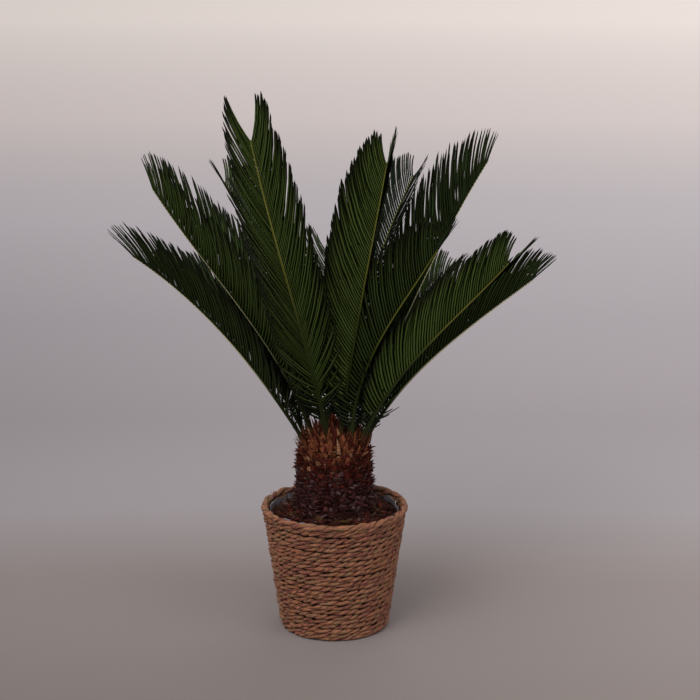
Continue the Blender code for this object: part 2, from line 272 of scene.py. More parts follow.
def dress(
    made: bpy.types.ID,
    materials: Sequence[Material],
    nodes: Sequence[str],
    smooth: Optional[float],
) -> None:
    """Give a piece its materials and shading, and tell the frame what it stands for.

    Args:
        made: The finished object, or a mesh that becomes one.
        materials: Its materials, in the order of its slots.
        nodes: The solids that it replaces.
        smooth: Largest angle in degrees that is shaded smooth, or None for flat faces.
    """
    piece = link(made.name, made) if isinstance(made, Mesh) else made
    for material in materials:
        piece.data.materials.append(material)
    if smooth is not None:
        select_only(piece)
        bpy.ops.object.shade_smooth_by_angle(angle=math.radians(smooth))
    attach(piece, "root")
    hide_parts(*nodes)
    LOG.info("%s: %d faces", piece.name, len(piece.data.polygons))


class Graph:
    """The node tree of one material, with short calls for the nodes that the finishes use."""

    def __init__(self, name: str, roughness: float, specular: float = 0.5) -> None:
        """Make a material and set its shader's own numbers.

        Args:
            name: The material's name.
            roughness: Roughness of its surface.
            specular: Specular level of its surface.
        """
        self.material = bpy.data.materials.new(name)
        self.material.use_nodes = True
        self.tree = self.material.node_tree
        self.shader = self.tree.nodes["Principled BSDF"]
        self.shader.inputs["Roughness"].default_value = roughness
        self.shader.inputs["Specular IOR Level"].default_value = specular
        place = self.tree.nodes.new("ShaderNodeTexCoord")
        self.spot, self.uv = place.outputs["Object"], place.outputs["UV"]

    def fill(self, socket: Socket, value: object) -> None:
        """Link a socket or set its value, unless that is None.

        Args:
            socket: The input to fill.
            value: A socket, a value or None.
        """
        if isinstance(value, bpy.types.NodeSocket):
            self.tree.links.new(value, socket)
        elif value is not None:
            socket.default_value = value

    def node(self, kind: str, *inputs: object) -> bpy.types.Node:
        """Add a node and set or link its first inputs.

        Args:
            kind: The node's type, without its common first word.
            inputs: A value, a socket to link, or None for each input in order.

        Returns:
            The node.
        """
        node = self.tree.nodes.new("ShaderNode" + kind)
        for socket, value in zip(node.inputs, inputs):
            self.fill(socket, value)
        return node

    def stretched(self, source: Socket, scale: Triple) -> Socket:
        """Coordinates, scaled on each axis."""
        return self.node("Mapping", source, None, None, scale).outputs[0]

    def noise(self, vector: Socket, scale: float = 1.0, detail: float = 3.0) -> Socket:
        """A noise pattern's value on some coordinates."""
        return self.node("TexNoise", vector, None, scale, detail).outputs[0]

    def ramp(self, factor: Socket, stops: Sequence[tuple[float, Colour]]) -> Socket:
        """Colours laid out along a value.

        Args:
            factor: The value.
            stops: Each colour, after the value where it stands.

        Returns:
            The colour.
        """
        node = self.node("ValToRGB", factor)
        elements = node.color_ramp.elements
        while len(elements) < len(stops):
            elements.new(0.5)
        for element, (at, colour) in zip(elements, stops):
            element.position = at
            element.color = (*colour, 1.0)
        return node.outputs[0]

    def span(self, value: Socket, low: float, high: float, to: Pair = (0.0, 1.0)) -> Socket:
        """A value's stretch from low to high, mapped to another stretch."""
        return self.node("MapRange", value, low, high, *to).outputs[0]

    def mix(self, factor: object, a: object, b: object, blend: str = "MIX") -> Socket:
        """Two colours blended by a factor.

        Args:
            factor: Share of the second colour.
            a: The first colour, or its socket.
            b: The second colour, or its socket.
            blend: How they blend.

        Returns:
            The blended colour.
        """
        node = self.node("Mix")
        node.data_type = "RGBA"
        node.blend_type = blend
        for index, value in ((0, factor), (6, a), (7, b)):
            self.fill(node.inputs[index], (*value, 1.0) if isinstance(value, tuple) else value)
        return node.outputs[2]

    def math(self, operation: str, *inputs: object) -> Socket:
        """The result of an arithmetic operation.

        Args:
            operation: The operation's name.
            inputs: Its values or sockets.

        Returns:
            The result.
        """
        node = self.node("Math", *inputs)
        node.operation = operation
        return node.outputs[0]

    def finish(self, colour: Socket, height: Socket, strength: float, depth: float) -> Material:
        """Link the colour and the bump to the shader.

        Args:
            colour: The base colour.
            height: The pattern that raises the surface.
            strength: Strength of the bump.
            depth: Height of the pattern in metres.

        Returns:
            The finished material.
        """
        bump = self.node("Bump", strength, depth)
        self.fill(bump.inputs["Height"], height)
        self.fill(self.shader.inputs["Normal"], bump.outputs[0])
        self.fill(self.shader.inputs["Base Color"], colour)
        return self.material


@dataclass(frozen=True)
class LeafFinish:
    """Waxy leaflet: two greens that vary from leaflet to leaflet, and a dark point of painted shade."""

    name: str
    deep: Colour
    light: Colour
    # Dark colour of the point: painted shade of the tip
    point: Colour
    roughness: float
    specular: float
    point_shade_from: Pair = (0.64, 0.95)

    def material(self) -> Material:
        """Make the finish, which follows each leaflet's own length.

        Returns:
            The material.
        """
        graph = Graph(self.name, self.roughness, self.specular)
        split = graph.node("SeparateXYZ", graph.uv)
        chance = graph.node("TexWhiteNoise")
        chance.noise_dimensions = "1D"
        graph.fill(chance.inputs["W"], graph.math("FLOOR", split.outputs[1]))
        cloud = graph.math("MULTIPLY", graph.noise(graph.spot, 22.0), 0.55)
        factor = graph.math("MULTIPLY_ADD", chance.outputs["Value"], 0.45, cloud)
        blade = graph.mix(factor, self.deep, self.light)
        streaks = graph.noise(graph.stretched(graph.uv, (3.0, 70.0, 1.0)))
        blade = graph.mix(graph.span(streaks, 0.35, 0.75, (0.0, 0.35)), blade, self.light)
        # Darker towards the point: painted shade of the tip, seen dark against the light
        blade = graph.mix(graph.span(split.outputs[0], *self.point_shade_from), blade, self.point)
        return graph.finish(blade, streaks, 0.25, 0.0002)


@dataclass(frozen=True)
class RibFinish:
    """Frond stalk and rib: colours along its length, with fine lines and a paler back, which on the pale
    ribs carries a painted highlight.
    """

    name: str
    stops: tuple[tuple[float, Colour], ...]
    back: Colour
    back_from: Pair
    back_turn: float = 0.75
    line: Colour = (0.02, 0.02, 0.006)
    roughness: float = 0.5

    def material(self) -> Material:
        """Make the finish, which follows the rib's own length.

        Returns:
            The material.
        """
        graph = Graph(self.name, self.roughness, 0.1)
        split = graph.node("SeparateXYZ", graph.uv)
        shift = graph.span(graph.noise(graph.spot, 60.0), 0.0, 1.0, (-0.012, 0.012))
        share = graph.math("ADD", split.outputs[0], shift)
        turn = graph.math("SUBTRACT", graph.math("FRACT", split.outputs[1]), self.back_turn)
        near = graph.span(graph.math("ABSOLUTE", turn), 0.34, 0.20)
        pale = graph.math("MULTIPLY", near, graph.span(share, *self.back_from, (0.0, 0.9)))
        colour = graph.mix(pale, graph.ramp(share, self.stops), self.back)
        lines = graph.noise(graph.stretched(graph.uv, (30.0, 40.0, 1.0)))
        colour = graph.mix(graph.span(lines, 0.3, 0.8, (0.0, 0.4)), colour, self.line)
        return graph.finish(colour, lines, 0.4, 0.0004)


@dataclass(frozen=True)
class RopeFinish:
    """Dried seagrass: patches of several browns along each strand, long fibres, and painted shade in the
    crevices between them.
    """

    name: str
    stops: tuple[tuple[float, Colour], ...]
    # Painted shade of the crevices between fibres
    crevice_shade: Colour
    patch_scale: Triple = (58.0, 1.0, 1.0)
    blade_scale: Triple = (22.0, 11.0, 1.0)
    fibre_scale: Triple = (130.0, 42.0, 1.0)
    patch_share: float = 0.72

    def material(self) -> Material:
        """Make the finish, which follows each strand's own length.

        Returns:
            The material.
        """
        graph = Graph(self.name, 0.72, 0.35)
        cells = graph.node("TexVoronoi", graph.stretched(graph.uv, self.patch_scale), None, 1.0)
        patches = graph.node("SeparateColor", cells.outputs["Color"]).outputs[0]
        blades = graph.noise(graph.stretched(graph.uv, self.blade_scale))
        fibres = graph.noise(graph.stretched(graph.uv, self.fibre_scale), 1.0, 4.0)
        shade = graph.math("MULTIPLY", graph.span(blades, 0.3, 0.7), 1.0 - self.patch_share)
        value = graph.math("MULTIPLY_ADD", patches, self.patch_share, shade)
        colour = graph.ramp(value, self.stops)
        # Dark where the fibres lie low in the relief: painted shade in the crevices between them
        colour = graph.mix(graph.span(fibres, 0.38, 0.60, (0.85, 0.0)), colour, self.crevice_shade)
        colour = graph.mix(graph.span(fibres, 0.60, 0.80, (0.0, 0.4)), colour, self.stops[3][1])
        return graph.finish(colour, graph.math("MULTIPLY_ADD", blades, 0.6, fibres), 1.0, 0.0016)


@dataclass(frozen=True)
class RoughFinish:
    """Bark, wool, soil or chips: two colours in patches with grains, a rough relief, and painted shade in
    its low grains.
    """

    name: str
    dark: Colour
    light: Colour
    grain: float
    depth: float
    roughness: float = 0.9
    patch_share: float = 0.22
    # Share of the dark colour left in the pits: painted shade
    pit_shade_share: float = 0.35

    def material(self) -> Material:
        """Make the finish, which follows the piece's own place.

        Returns:
            The material.
        """
        graph = Graph(self.name, self.roughness, 0.08)
        patches = graph.noise(graph.spot, self.grain * self.patch_share, 2.0)
        grains = graph.noise(graph.spot, self.grain, 5.0)
        colour = graph.mix(graph.span(patches, 0.32, 0.68), self.dark, self.light)
        # Darker where the grains lie low in the relief: painted shade in the pits
        pit_shade = tuple(self.pit_shade_share * part for part in self.dark)
        colour = graph.mix(graph.span(grains, 0.36, 0.60, (0.8, 0.0)), colour, pit_shade)
        return graph.finish(colour, grains, 0.9, self.depth)


@dataclass(frozen=True)
class FilmFinish:
    """Thin crinkled film with a satin gloss."""

    name: str
    dark: Colour
    light: Colour

    def material(self) -> Material:
        """Make the finish, which follows the piece's own place.

        Returns:
            The material.
        """
        graph = Graph(self.name, 0.34)
        graph.shader.inputs["Coat Weight"].default_value = 0.3
        graph.shader.inputs["Coat Roughness"].default_value = 0.2
        folds = graph.noise(graph.spot, 90.0)
        cloud = graph.noise(graph.spot, 30.0, 2.0)
        colour = graph.mix(graph.span(cloud, 0.35, 0.65), self.dark, self.light)
        return graph.finish(colour, folds, 0.7, 0.0012)


class LeafTint(Enum):
    """Age of a frond, which sets the greens of its leaflets, and the dark green low in the crown."""

    SHADED = "shaded"
    DEEP = "deep"
    MIDDLE = "middle"
    FRESH = "fresh"


SHADED, DEEP, MIDDLE, FRESH = LeafTint


@dataclass(frozen=True)
class FrondPlan:
    """One frond: where its rib leaves the trunk, how it arches and rolls, and how full it is.

    Angles are in degrees, and the values are those of the solids. Fullness scales the
    length of the leaflets, spread their angle to the rib and width_share their width.
    Towards the rib's end the length changes further, to the end share of itself and, over
    the last part, to the last share. A pale rib shows its back to the viewer: a paler
    underside with a painted highlight on it.
    """

    azimuth: float
    drift: float
    rise_seat: float
    rise_middle: float
    rise_end: float
    length: float
    seat_radius: float
    roll: float = 0.0
    fullness: float = 1.0
    spread: float = 0.9
    end_share: float = 0.9
    tint: LeafTint = MIDDLE
    width_share: float = 1.0
    # Pale ribs show their paler underside with a painted highlight
    pale_and_highlight_rib: bool = False
    last_share: float = 1.0
    steps: int = 400

    def directions(self, shares: Array) -> tuple[Array, Array, Array]:
        """Directions along, sideways and to the upper side of the rib.

        Args:
            shares: Places on the rib, as shares of its length.

        Returns:
            Three arrays of unit vectors.
        """
        s = np.maximum(shares, 0.0)
        arch = self.rise_middle - 0.5 * (self.rise_seat + self.rise_end)
        rise = np.radians(self.rise_seat + (self.rise_end - self.rise_seat) * s + 4 * arch * s * (1 - s))
        azimuth = np.radians(self.azimuth + self.drift * s)
        level = radial(azimuth + QUARTER_TURN)
        along = polar(azimuth, np.cos(rise), np.sin(rise))
        roll = math.radians(self.roll)
        side = level * math.cos(roll) + np.cross(along, level) * math.sin(roll)
        return along, side, np.cross(along, side)

    def places(self, shares: Array) -> Array:
        """Points on the rib's centre line.

        Args:
            shares: Places on the rib, as shares of its length.

        Returns:
            The points.
        """
        seat = polar(np.radians(self.azimuth), self.seat_radius, CROWN_HEIGHT(self.seat_radius))
        steps = np.linspace(0.0, 1.0, self.steps + 1)
        middles = self.directions(0.5 * (steps[1:] + steps[:-1]))[0]
        line = np.vstack([seat, seat + np.cumsum(middles, axis=0) * self.length / self.steps])
        inside = np.minimum(shares, 0.0)[:, None] * self.length * self.directions(np.zeros(1))[0]
        return np.stack([np.interp(shares, steps, line[:, axis]) for axis in range(3)], -1) + inside


FRONDS = (
    FrondPlan(252, -2, 63, 56.5, 64, 0.532, 0.030, 21, 1.15, 0.80, 1.0, FRESH, 1.15, False, 1.2),
    FrondPlan(294.2, -4.5, 75.6, 67.2, 65.6, 0.439, 0.024, 17, 1.22, 0.77, 0.82, FRESH, 1.1),
    FrondPlan(310, 9.9, 87.6, 57, 56.4, 0.341, 0.038, -12, 1.10, 0.96, 0.88, DEEP),
    FrondPlan(355.7, 0, 66, 65.8, 59.1, 0.432, 0.028, -3, 1.38, 1.13, 0.74, DEEP, 0.68, True, 0.92),
    FrondPlan(197, 9.3, 72.2, 55, 58.2, 0.434, 0.033, -16, 1.24, 1.07, 0.80, MIDDLE, 0.70, True),
    FrondPlan(332.7, -23.6, 67.1, 46.2, 44, 0.386, 0.043, -22, 0.99, 0.83, 1.08, MIDDLE, 0.92),
    FrondPlan(188.4, 14.6, 58.6, 50.6, 36, 0.372, 0.044, -3, 1.03, 0.90, 1.0, DEEP, 0.60, True),
    FrondPlan(352, -6.5, 62.4, 44, 39, 0.340, 0.0445, -22, 1.08, 0.84, 1.0, DEEP, 0.68, True, 0.88),
    FrondPlan(55, 0.8, 83, 61.9, 44.5, 0.393, 0.027, 1, 1.06, 0.97, 0.75, SHADED, 0.84),
    FrondPlan(129, 6, 76, 54, 48, 0.400, 0.027, width_share=0.9),
    FrondPlan(142, 0, 66, 52, 40, 0.360, 0.043, width_share=0.9),
    FrondPlan(160, 0, 62, 46, 32, 0.315, 0.044, tint=DEEP, width_share=0.9),
    FrondPlan(93, 0, 64, 42, 16, 0.345, 0.042, width_share=0.9),
    FrondPlan(50, 0, 60, 42, 24, 0.300, 0.044, width_share=0.9),
    FrondPlan(20, 0, 60, 40, 24, 0.300, 0.044, tint=DEEP, width_share=0.9),
)

# Places along a rib where the leaflets' length and angles are given
KNOTS = (0.05, 0.08, 0.15, 0.25, 0.35, 0.50, 0.65, 0.80, 0.90, 0.96, 1.00)


@dataclass
class Frond:
    """One frond with its fine leaflets, rounded rib, woolly foot and spines.

    The slots of a leaflet's eight sides are 0 for the upper side, 1 for the underside
    and 2 for the margins, whose darker green is painted shade of the curled margins, and
    low in the crown the same three in the dark green.
    """

    plan: FrondPlan
    number: int
    leaflets_from: float = 0.062
    leaflets_to: float = 0.998
    pitch: Curve = Curve((0.06, 0.18, 0.45, 0.80, 1.00), (0.0044, 0.0058, 0.0063, 0.0060, 0.0050))
    pitch_spread: Pair = (0.95, 1.05)
    length: Curve = Curve(
        KNOTS, (0.013, 0.024, 0.052, 0.084, 0.104, 0.116, 0.112, 0.096, 0.080, 0.066, 0.046)
    )
    length_spread: Pair = (0.93, 1.0)
    end_starts: float = 0.65
    last_starts: float = 0.85
    sweep: Curve = Curve(KNOTS, (80, 76, 64, 51, 44, 40, 38, 37, 36, 33, 27))
    sweep_noise: float = 0.4
    rise: Curve = Curve(KNOTS, (6, 12, 24, 36, 42, 42, 42, 42, 42, 38, 22))
    rise_noise: Curve = Curve((0.06, 0.28), (15.0, 1.5))
    seat_side: float = 0.3
    seat_upper: float = 0.48
    lead_out: float = 5.0
    forward_bend: float = 22.0
    bend_noise: float = 1.6
    drop_noise: float = 0.0012
    twist: float = 14.0
    twist_noise: float = 4.0
    width: float = 0.0048
    width_at: Curve = Curve((0.05, 0.2, 0.4, 0.6, 0.8, 1.0), (1.55, 1.45, 1.25, 1.08, 0.98, 0.80))
    full_length: float = 0.09
    least_share: float = 0.35
    width_power: float = 0.45
    stations: tuple[float, ...] = (0.0, 0.05, 0.18, 0.45, 0.75, 0.93, 1.0)
    profile: tuple[float, ...] = (1.0, 0.96, 1.0, 1.0, 0.92, 0.70, 0.0)
    root_share: float = 0.56
    closing: Curve = Curve((0.12, 0.45), (0.62, 1.0))
    closing_least: float = 0.4
    section_half: tuple[float, ...] = (1.0, 0.45, 0.0, -0.45, -1.0, -0.42, 0.0, 0.42)
    section_height: tuple[float, ...] = (-0.0010, 0.0, 0.0001, 0.0, -0.0010, -0.0005, -0.0010, -0.0005)
    # Side slot 2, the margins, takes the painted shade of the curled margins
    side_slots: tuple[int, ...] = (2, 0, 0, 2, 2, 1, 1, 2)
    shaded_end: float = 0.12
    shaded_noise: float = 0.02
    rib_half: Curve = Curve(
        (-0.03, 0.0, 0.025, 0.08, 0.30, 0.60, 1.0), (0.0060, 0.0058, 0.0042, 0.0030, 0.0019, 0.0014, 0.0008)
    )
    rib_height: float = 0.78
    foot_span: Pair = (-0.03, 0.1)
    foot_stations: int = 15
    rib_stations: int = 41
    rib_sides: int = 10
    spines_a_side: int = 5
    spines_from: float = 0.032
    spine_length: Curve = Curve((0.03, 0.062), (0.004, 0.011))
    spine_half: float = 0.0013
    rng: Draws = field(init=False)

    def __post_init__(self) -> None:
        """Seed the frond's own small differences."""
        self.rng = np.random.default_rng(700 + self.number)

    @property
    def node(self) -> str:
        """Name of the solid that the frond replaces."""
        return f"frond_{self.number:02d}"

    def leaflet_places(self) -> tuple[Array, Array]:
        """Shares of the rib where leaflets stand, and the side of each.

        Returns:
            The shares, and 1 or -1 for the side.
        """
        shares, sides = [], []
        for side, start in ((1, 0.0), (-1, 0.5)):
            share = self.leaflets_from + start * self.pitch.values[0] / self.plan.length
            while share < self.leaflets_to:
                shares.append(share)
                sides.append(side)
                share += self.pitch(share) * self.rng.uniform(*self.pitch_spread) / self.plan.length
        return np.array(shares), np.array(sides)

    def leaflets(self) -> Mesh:
        """All leaflets as closed lance-shaped blades with a midrib and curled margins.

        Returns:
            The leaflets as one mesh.
        """
        plan, rng = self.plan, self.rng
        shares, sides = self.leaflet_places()
        count = len(shares)
        along, side, upper = plan.directions(shares)
        length = self.length(shares) * plan.fullness * rng.uniform(*self.length_spread, count)
        for starts, share in ((self.end_starts, plan.end_share), (self.last_starts, plan.last_share)):
            length = length * np.interp(shares, (starts, 1.0), (1.0, share))
        sweep = self.sweep(shares) * plan.spread + rng.normal(0, self.sweep_noise, count)
        rise = np.radians(self.rise(shares) + rng.normal(0, 1, count) * self.rise_noise(shares))
        outward = side * (sides * np.cos(rise))[:, None] + upper * np.sin(rise)[:, None]
        half_rib = self.rib_half(shares)[:, None]
        root = plan.places(shares) + (
            side * (self.seat_side * sides)[:, None] * half_rib + upper * (self.seat_upper * half_rib)
        )

        t = np.array(self.stations)
        bend = self.forward_bend + rng.normal(0, self.bend_noise, count)
        angle = np.radians(sweep[:, None] + self.lead_out - bend[:, None] * t)[..., None]
        ahead = along[:, None] * np.cos(angle) + outward[:, None] * np.sin(angle)
        turned = angle.copy()
        turned[:, 0] = QUARTER_TURN
        across = along[:, None] * np.sin(turned) - outward[:, None] * np.cos(turned)
        line = grow(root, ahead, t, length)

        facing = -sides[:, None, None] * across
        normal = unit(np.cross(ahead, facing))
        line = line + normal * (rng.normal(0, self.drop_noise, count)[:, None] * t**2)[..., None]
        twist = np.radians(self.twist * sides + rng.normal(0, self.twist_noise, count))[:, None, None]
        facing, normal = (
            facing * np.cos(twist) + normal * np.sin(twist),
            normal * np.cos(twist) - facing * np.sin(twist),
        )
        size = np.clip(length / self.full_length, self.least_share, 1.0) ** self.width_power
        half = (0.5 * self.width * plan.width_share * size * self.width_at(shares))[:, None] * self.profile
        widening = self.closing_least + (1.0 - self.closing_least) * plan.width_share
        half[:, 0] = self.root_share * self.pitch(shares) * self.closing(shares) * widening
        half = half[..., None]
        flat = (np.minimum(half / (0.5 * self.width), 1.0) * self.section_height)[..., None]
        aside = (half * self.section_half)[..., None]
        rings = line[:, :, None] + aside * facing[:, :, None] + flat * normal[:, :, None]
        shaded = shares + rng.normal(0, self.shaded_noise, count) < self.shaded_end
        slots = np.array(self.side_slots) + 3 * shaded[:, None]
        return Pile().add_lofts(rings[:, :-1], line[:, -1], slots, t).mesh(self.node + "_leaflets")

    def rib(self) -> Mesh:
        """Rib from its swollen foot in the trunk to its end, with the spines of its stalk.

        Returns:
            The rib as a mesh.
        """
        foot = np.linspace(*self.foot_span, self.foot_stations, endpoint=False)
        shares = np.concatenate([foot, np.linspace(self.foot_span[1], 1.0, self.rib_stations)])
        half = self.rib_half(shares)[None]
        side = self.plan.directions(shares)[1][None]
        centres = self.plan.places(shares)[None]
        rings = tube_rings(centres, side, half, self.rib_height * half, self.rib_sides)
        pile = Pile().add_lofts(rings, along=np.append(np.maximum(shares, 0.0), 1.0))
        return self.add_spines(pile).mesh(self.node + "_rib")

    def add_spines(self, pile: Pile) -> Pile:
        """Add the two rows of short spines on the stalk below the leaflets.

        Args:
            pile: The rib's pile.

        Returns:
            The same pile.
        """
        rng = self.rng
        sides = np.repeat([1, -1], self.spines_a_side)
        shares = np.tile(np.linspace(self.spines_from, self.leaflets_from, self.spines_a_side), 2)
        shares = shares + rng.uniform(-0.004, 0.004, len(shares))
        along, side, upper = self.plan.directions(shares)
        length = self.spine_length(shares) * rng.uniform(0.8, 1.15, len(shares))
        out = unit(side * sides[:, None] + 0.45 * upper)
        root = self.plan.places(shares) + out * (0.7 * self.rib_half(shares))[:, None]
        t = np.array([0.0, 0.35, 0.7, 1.0])
        turn = np.radians(62.0 - 22.0 * np.minimum(t, 0.7))[:, None]
        ahead = along[:, None] * np.cos(turn) + out[:, None] * np.sin(turn)
        line = root[:, None] + ahead * (t * length[:, None])[..., None]
        half = self.spine_half * np.array([[1.0, 0.75, 0.4]])
        rings = tube_rings(line[:, :-1], upper[:, None], half, half, 5)
        return pile.add_lofts(rings, line[:, -1], along=shares[:, None])

    def build(self, leaf_sides: dict[LeafTint, list[Material]], rib: Material) -> None:
        """Make the frond's two pieces and dress them.

        Args:
            leaf_sides: Materials of a leaflet's sides for each tint.
            rib: Material of the rib.
        """
        finishes = leaf_sides[self.plan.tint] + leaf_sides[SHADED]
        for mesh, materials, smooth in ((self.leaflets(), finishes, 50), (self.rib(), [rib], 60)):
            dress(mesh, materials, [self.node], smooth)


@dataclass
class Crown:
    """All fronds, with the greens of each age: upper side deep and light, then underside."""

    greens: tuple[tuple[LeafTint, Colour, Colour, Colour, Colour], ...] = (
        (SHADED, (0.006, 0.011, 0.006), (0.024, 0.037, 0.018), (0.012, 0.017, 0.008), (0.035, 0.052, 0.024)),
        (DEEP, (0.009, 0.014, 0.005), (0.027, 0.045, 0.011), (0.014, 0.020, 0.006), (0.038, 0.063, 0.015)),
        (MIDDLE, (0.016, 0.026, 0.006), (0.050, 0.081, 0.017), (0.028, 0.042, 0.009), (0.075, 0.119, 0.025)),
        (FRESH, (0.021, 0.031, 0.009), (0.064, 0.097, 0.023), (0.035, 0.052, 0.011), (0.090, 0.138, 0.031)),
    )
    # Share of each green that the margins keep: their painted shade
    margin_shade_share: float = 0.14
    # Dark colour of the leaflets' points: painted shade
    point: Colour = (0.007, 0.008, 0.004)
    rib_stops: tuple[tuple[float, Colour], ...] = (
        (0.0, (0.080, 0.030, 0.013)),
        (0.022, (0.034, 0.022, 0.007)),
        (0.050, (0.014, 0.020, 0.004)),
        (0.20, (0.013, 0.023, 0.003)),
        (0.50, (0.040, 0.055, 0.008)),
        (0.75, (0.098, 0.108, 0.016)),
        (1.0, (0.125, 0.130, 0.020)),
    )
    rib_back: Colour = (0.190, 0.190, 0.034)
    # Back of the pale ribs: their paler underside, lifted further by a painted highlight
    rib_back_pale_and_highlight: Colour = (0.720, 0.660, 0.400)

    def build(self) -> None:
        """Make every frond."""
        sides = {}
        for tint, deep, light, under_deep, under_light in self.greens:
            # The margins take a darker green: painted shade of the curled margins
            margin_shade = [tuple(self.margin_shade_share * part for part in green) for green in (deep, light)]
            rows = (
                ("upper", (deep, light), 0.45, 0.05),
                ("under", (under_deep, under_light), 0.50, 0.06),
                ("margin_shade", margin_shade, 0.5, 0.04),
            )
            sides[tint] = [
                LeafFinish(f"leaf_{side}_{tint.value}", *pair, self.point, roughness, specular).material()
                for side, pair, roughness, specular in rows
            ]
        green = RibFinish("frond_rib_green", self.rib_stops, self.rib_back, (0.42, 0.78)).material()
        # The pale rib's back is partly its paler underside and partly a painted highlight
        pale = RibFinish("frond_rib_pale_and_highlight", self.rib_stops, self.rib_back_pale_and_highlight, (0.20, 0.46)).material()
        for number, plan in enumerate(FRONDS, 1):
            Frond(plan, number).build(sides, pale if plan.pale_and_highlight_rib else green)


@dataclass(frozen=True)
class Sprouts:
    """Many thin pointed shapes that grow out of the trunk, at angles about its axis.

    The tilt above the level and the swing to the side are given at each station, and the
    half width and half thickness at each but the last. Kinds are material slots.
    """

    angle: Array
    radius: Array
    z: Array
    length: Array
    shares: Array
    tilt: Array
    swing: Array
    half_width: Array
    half_thickness: Array
    sides: int
    kinds: Array

    def mesh(self, name: str) -> Mesh:
        """The shapes as one mesh.

        Args:
            name: The mesh's name.

        Returns:
            The mesh.
        """
        level = radial(self.angle + QUARTER_TURN)[:, None]
        ahead = polar(self.angle[:, None], np.cos(self.tilt), np.sin(self.tilt))
        ahead = unit(ahead + level * self.swing[..., None])
        line = grow(polar(self.angle, self.radius, self.z), ahead, self.shares, self.length)
        rings = tube_rings(line[:, :-1], level, self.half_width, self.half_thickness, self.sides)
        return Pile().add_lofts(rings, line[:, -1], self.kinds[:, None]).mesh(name)


TRUNK_FINISHES = (
    RoughFinish("bark_purple_brown", (0.032, 0.009, 0.009), (0.094, 0.030, 0.027), 420, 0.0010),
    RoughFinish("bark_greyish_mauve", (0.060, 0.030, 0.029), (0.130, 0.070, 0.068), 420, 0.0008),
    RoughFinish("bark_red_brown", (0.046, 0.008, 0.005), (0.118, 0.021, 0.012), 420, 0.0008),
    RoughFinish("scale_orange_tan", (0.135, 0.038, 0.016), (0.285, 0.094, 0.041), 380, 0.0006),
    RoughFinish("scale_pale_tan", (0.240, 0.110, 0.056), (0.400, 0.215, 0.115), 300, 0.0005),
    RoughFinish("bark_core", (0.012, 0.0035, 0.003), (0.042, 0.012, 0.009), 330, 0.0016),
    RoughFinish("crown_wool_brown", (0.078, 0.023, 0.013), (0.185, 0.061, 0.032), 300, 0.0004),
    RoughFinish("crown_wool_tan", (0.185, 0.071, 0.035), (0.360, 0.156, 0.080), 300, 0.0004),
)


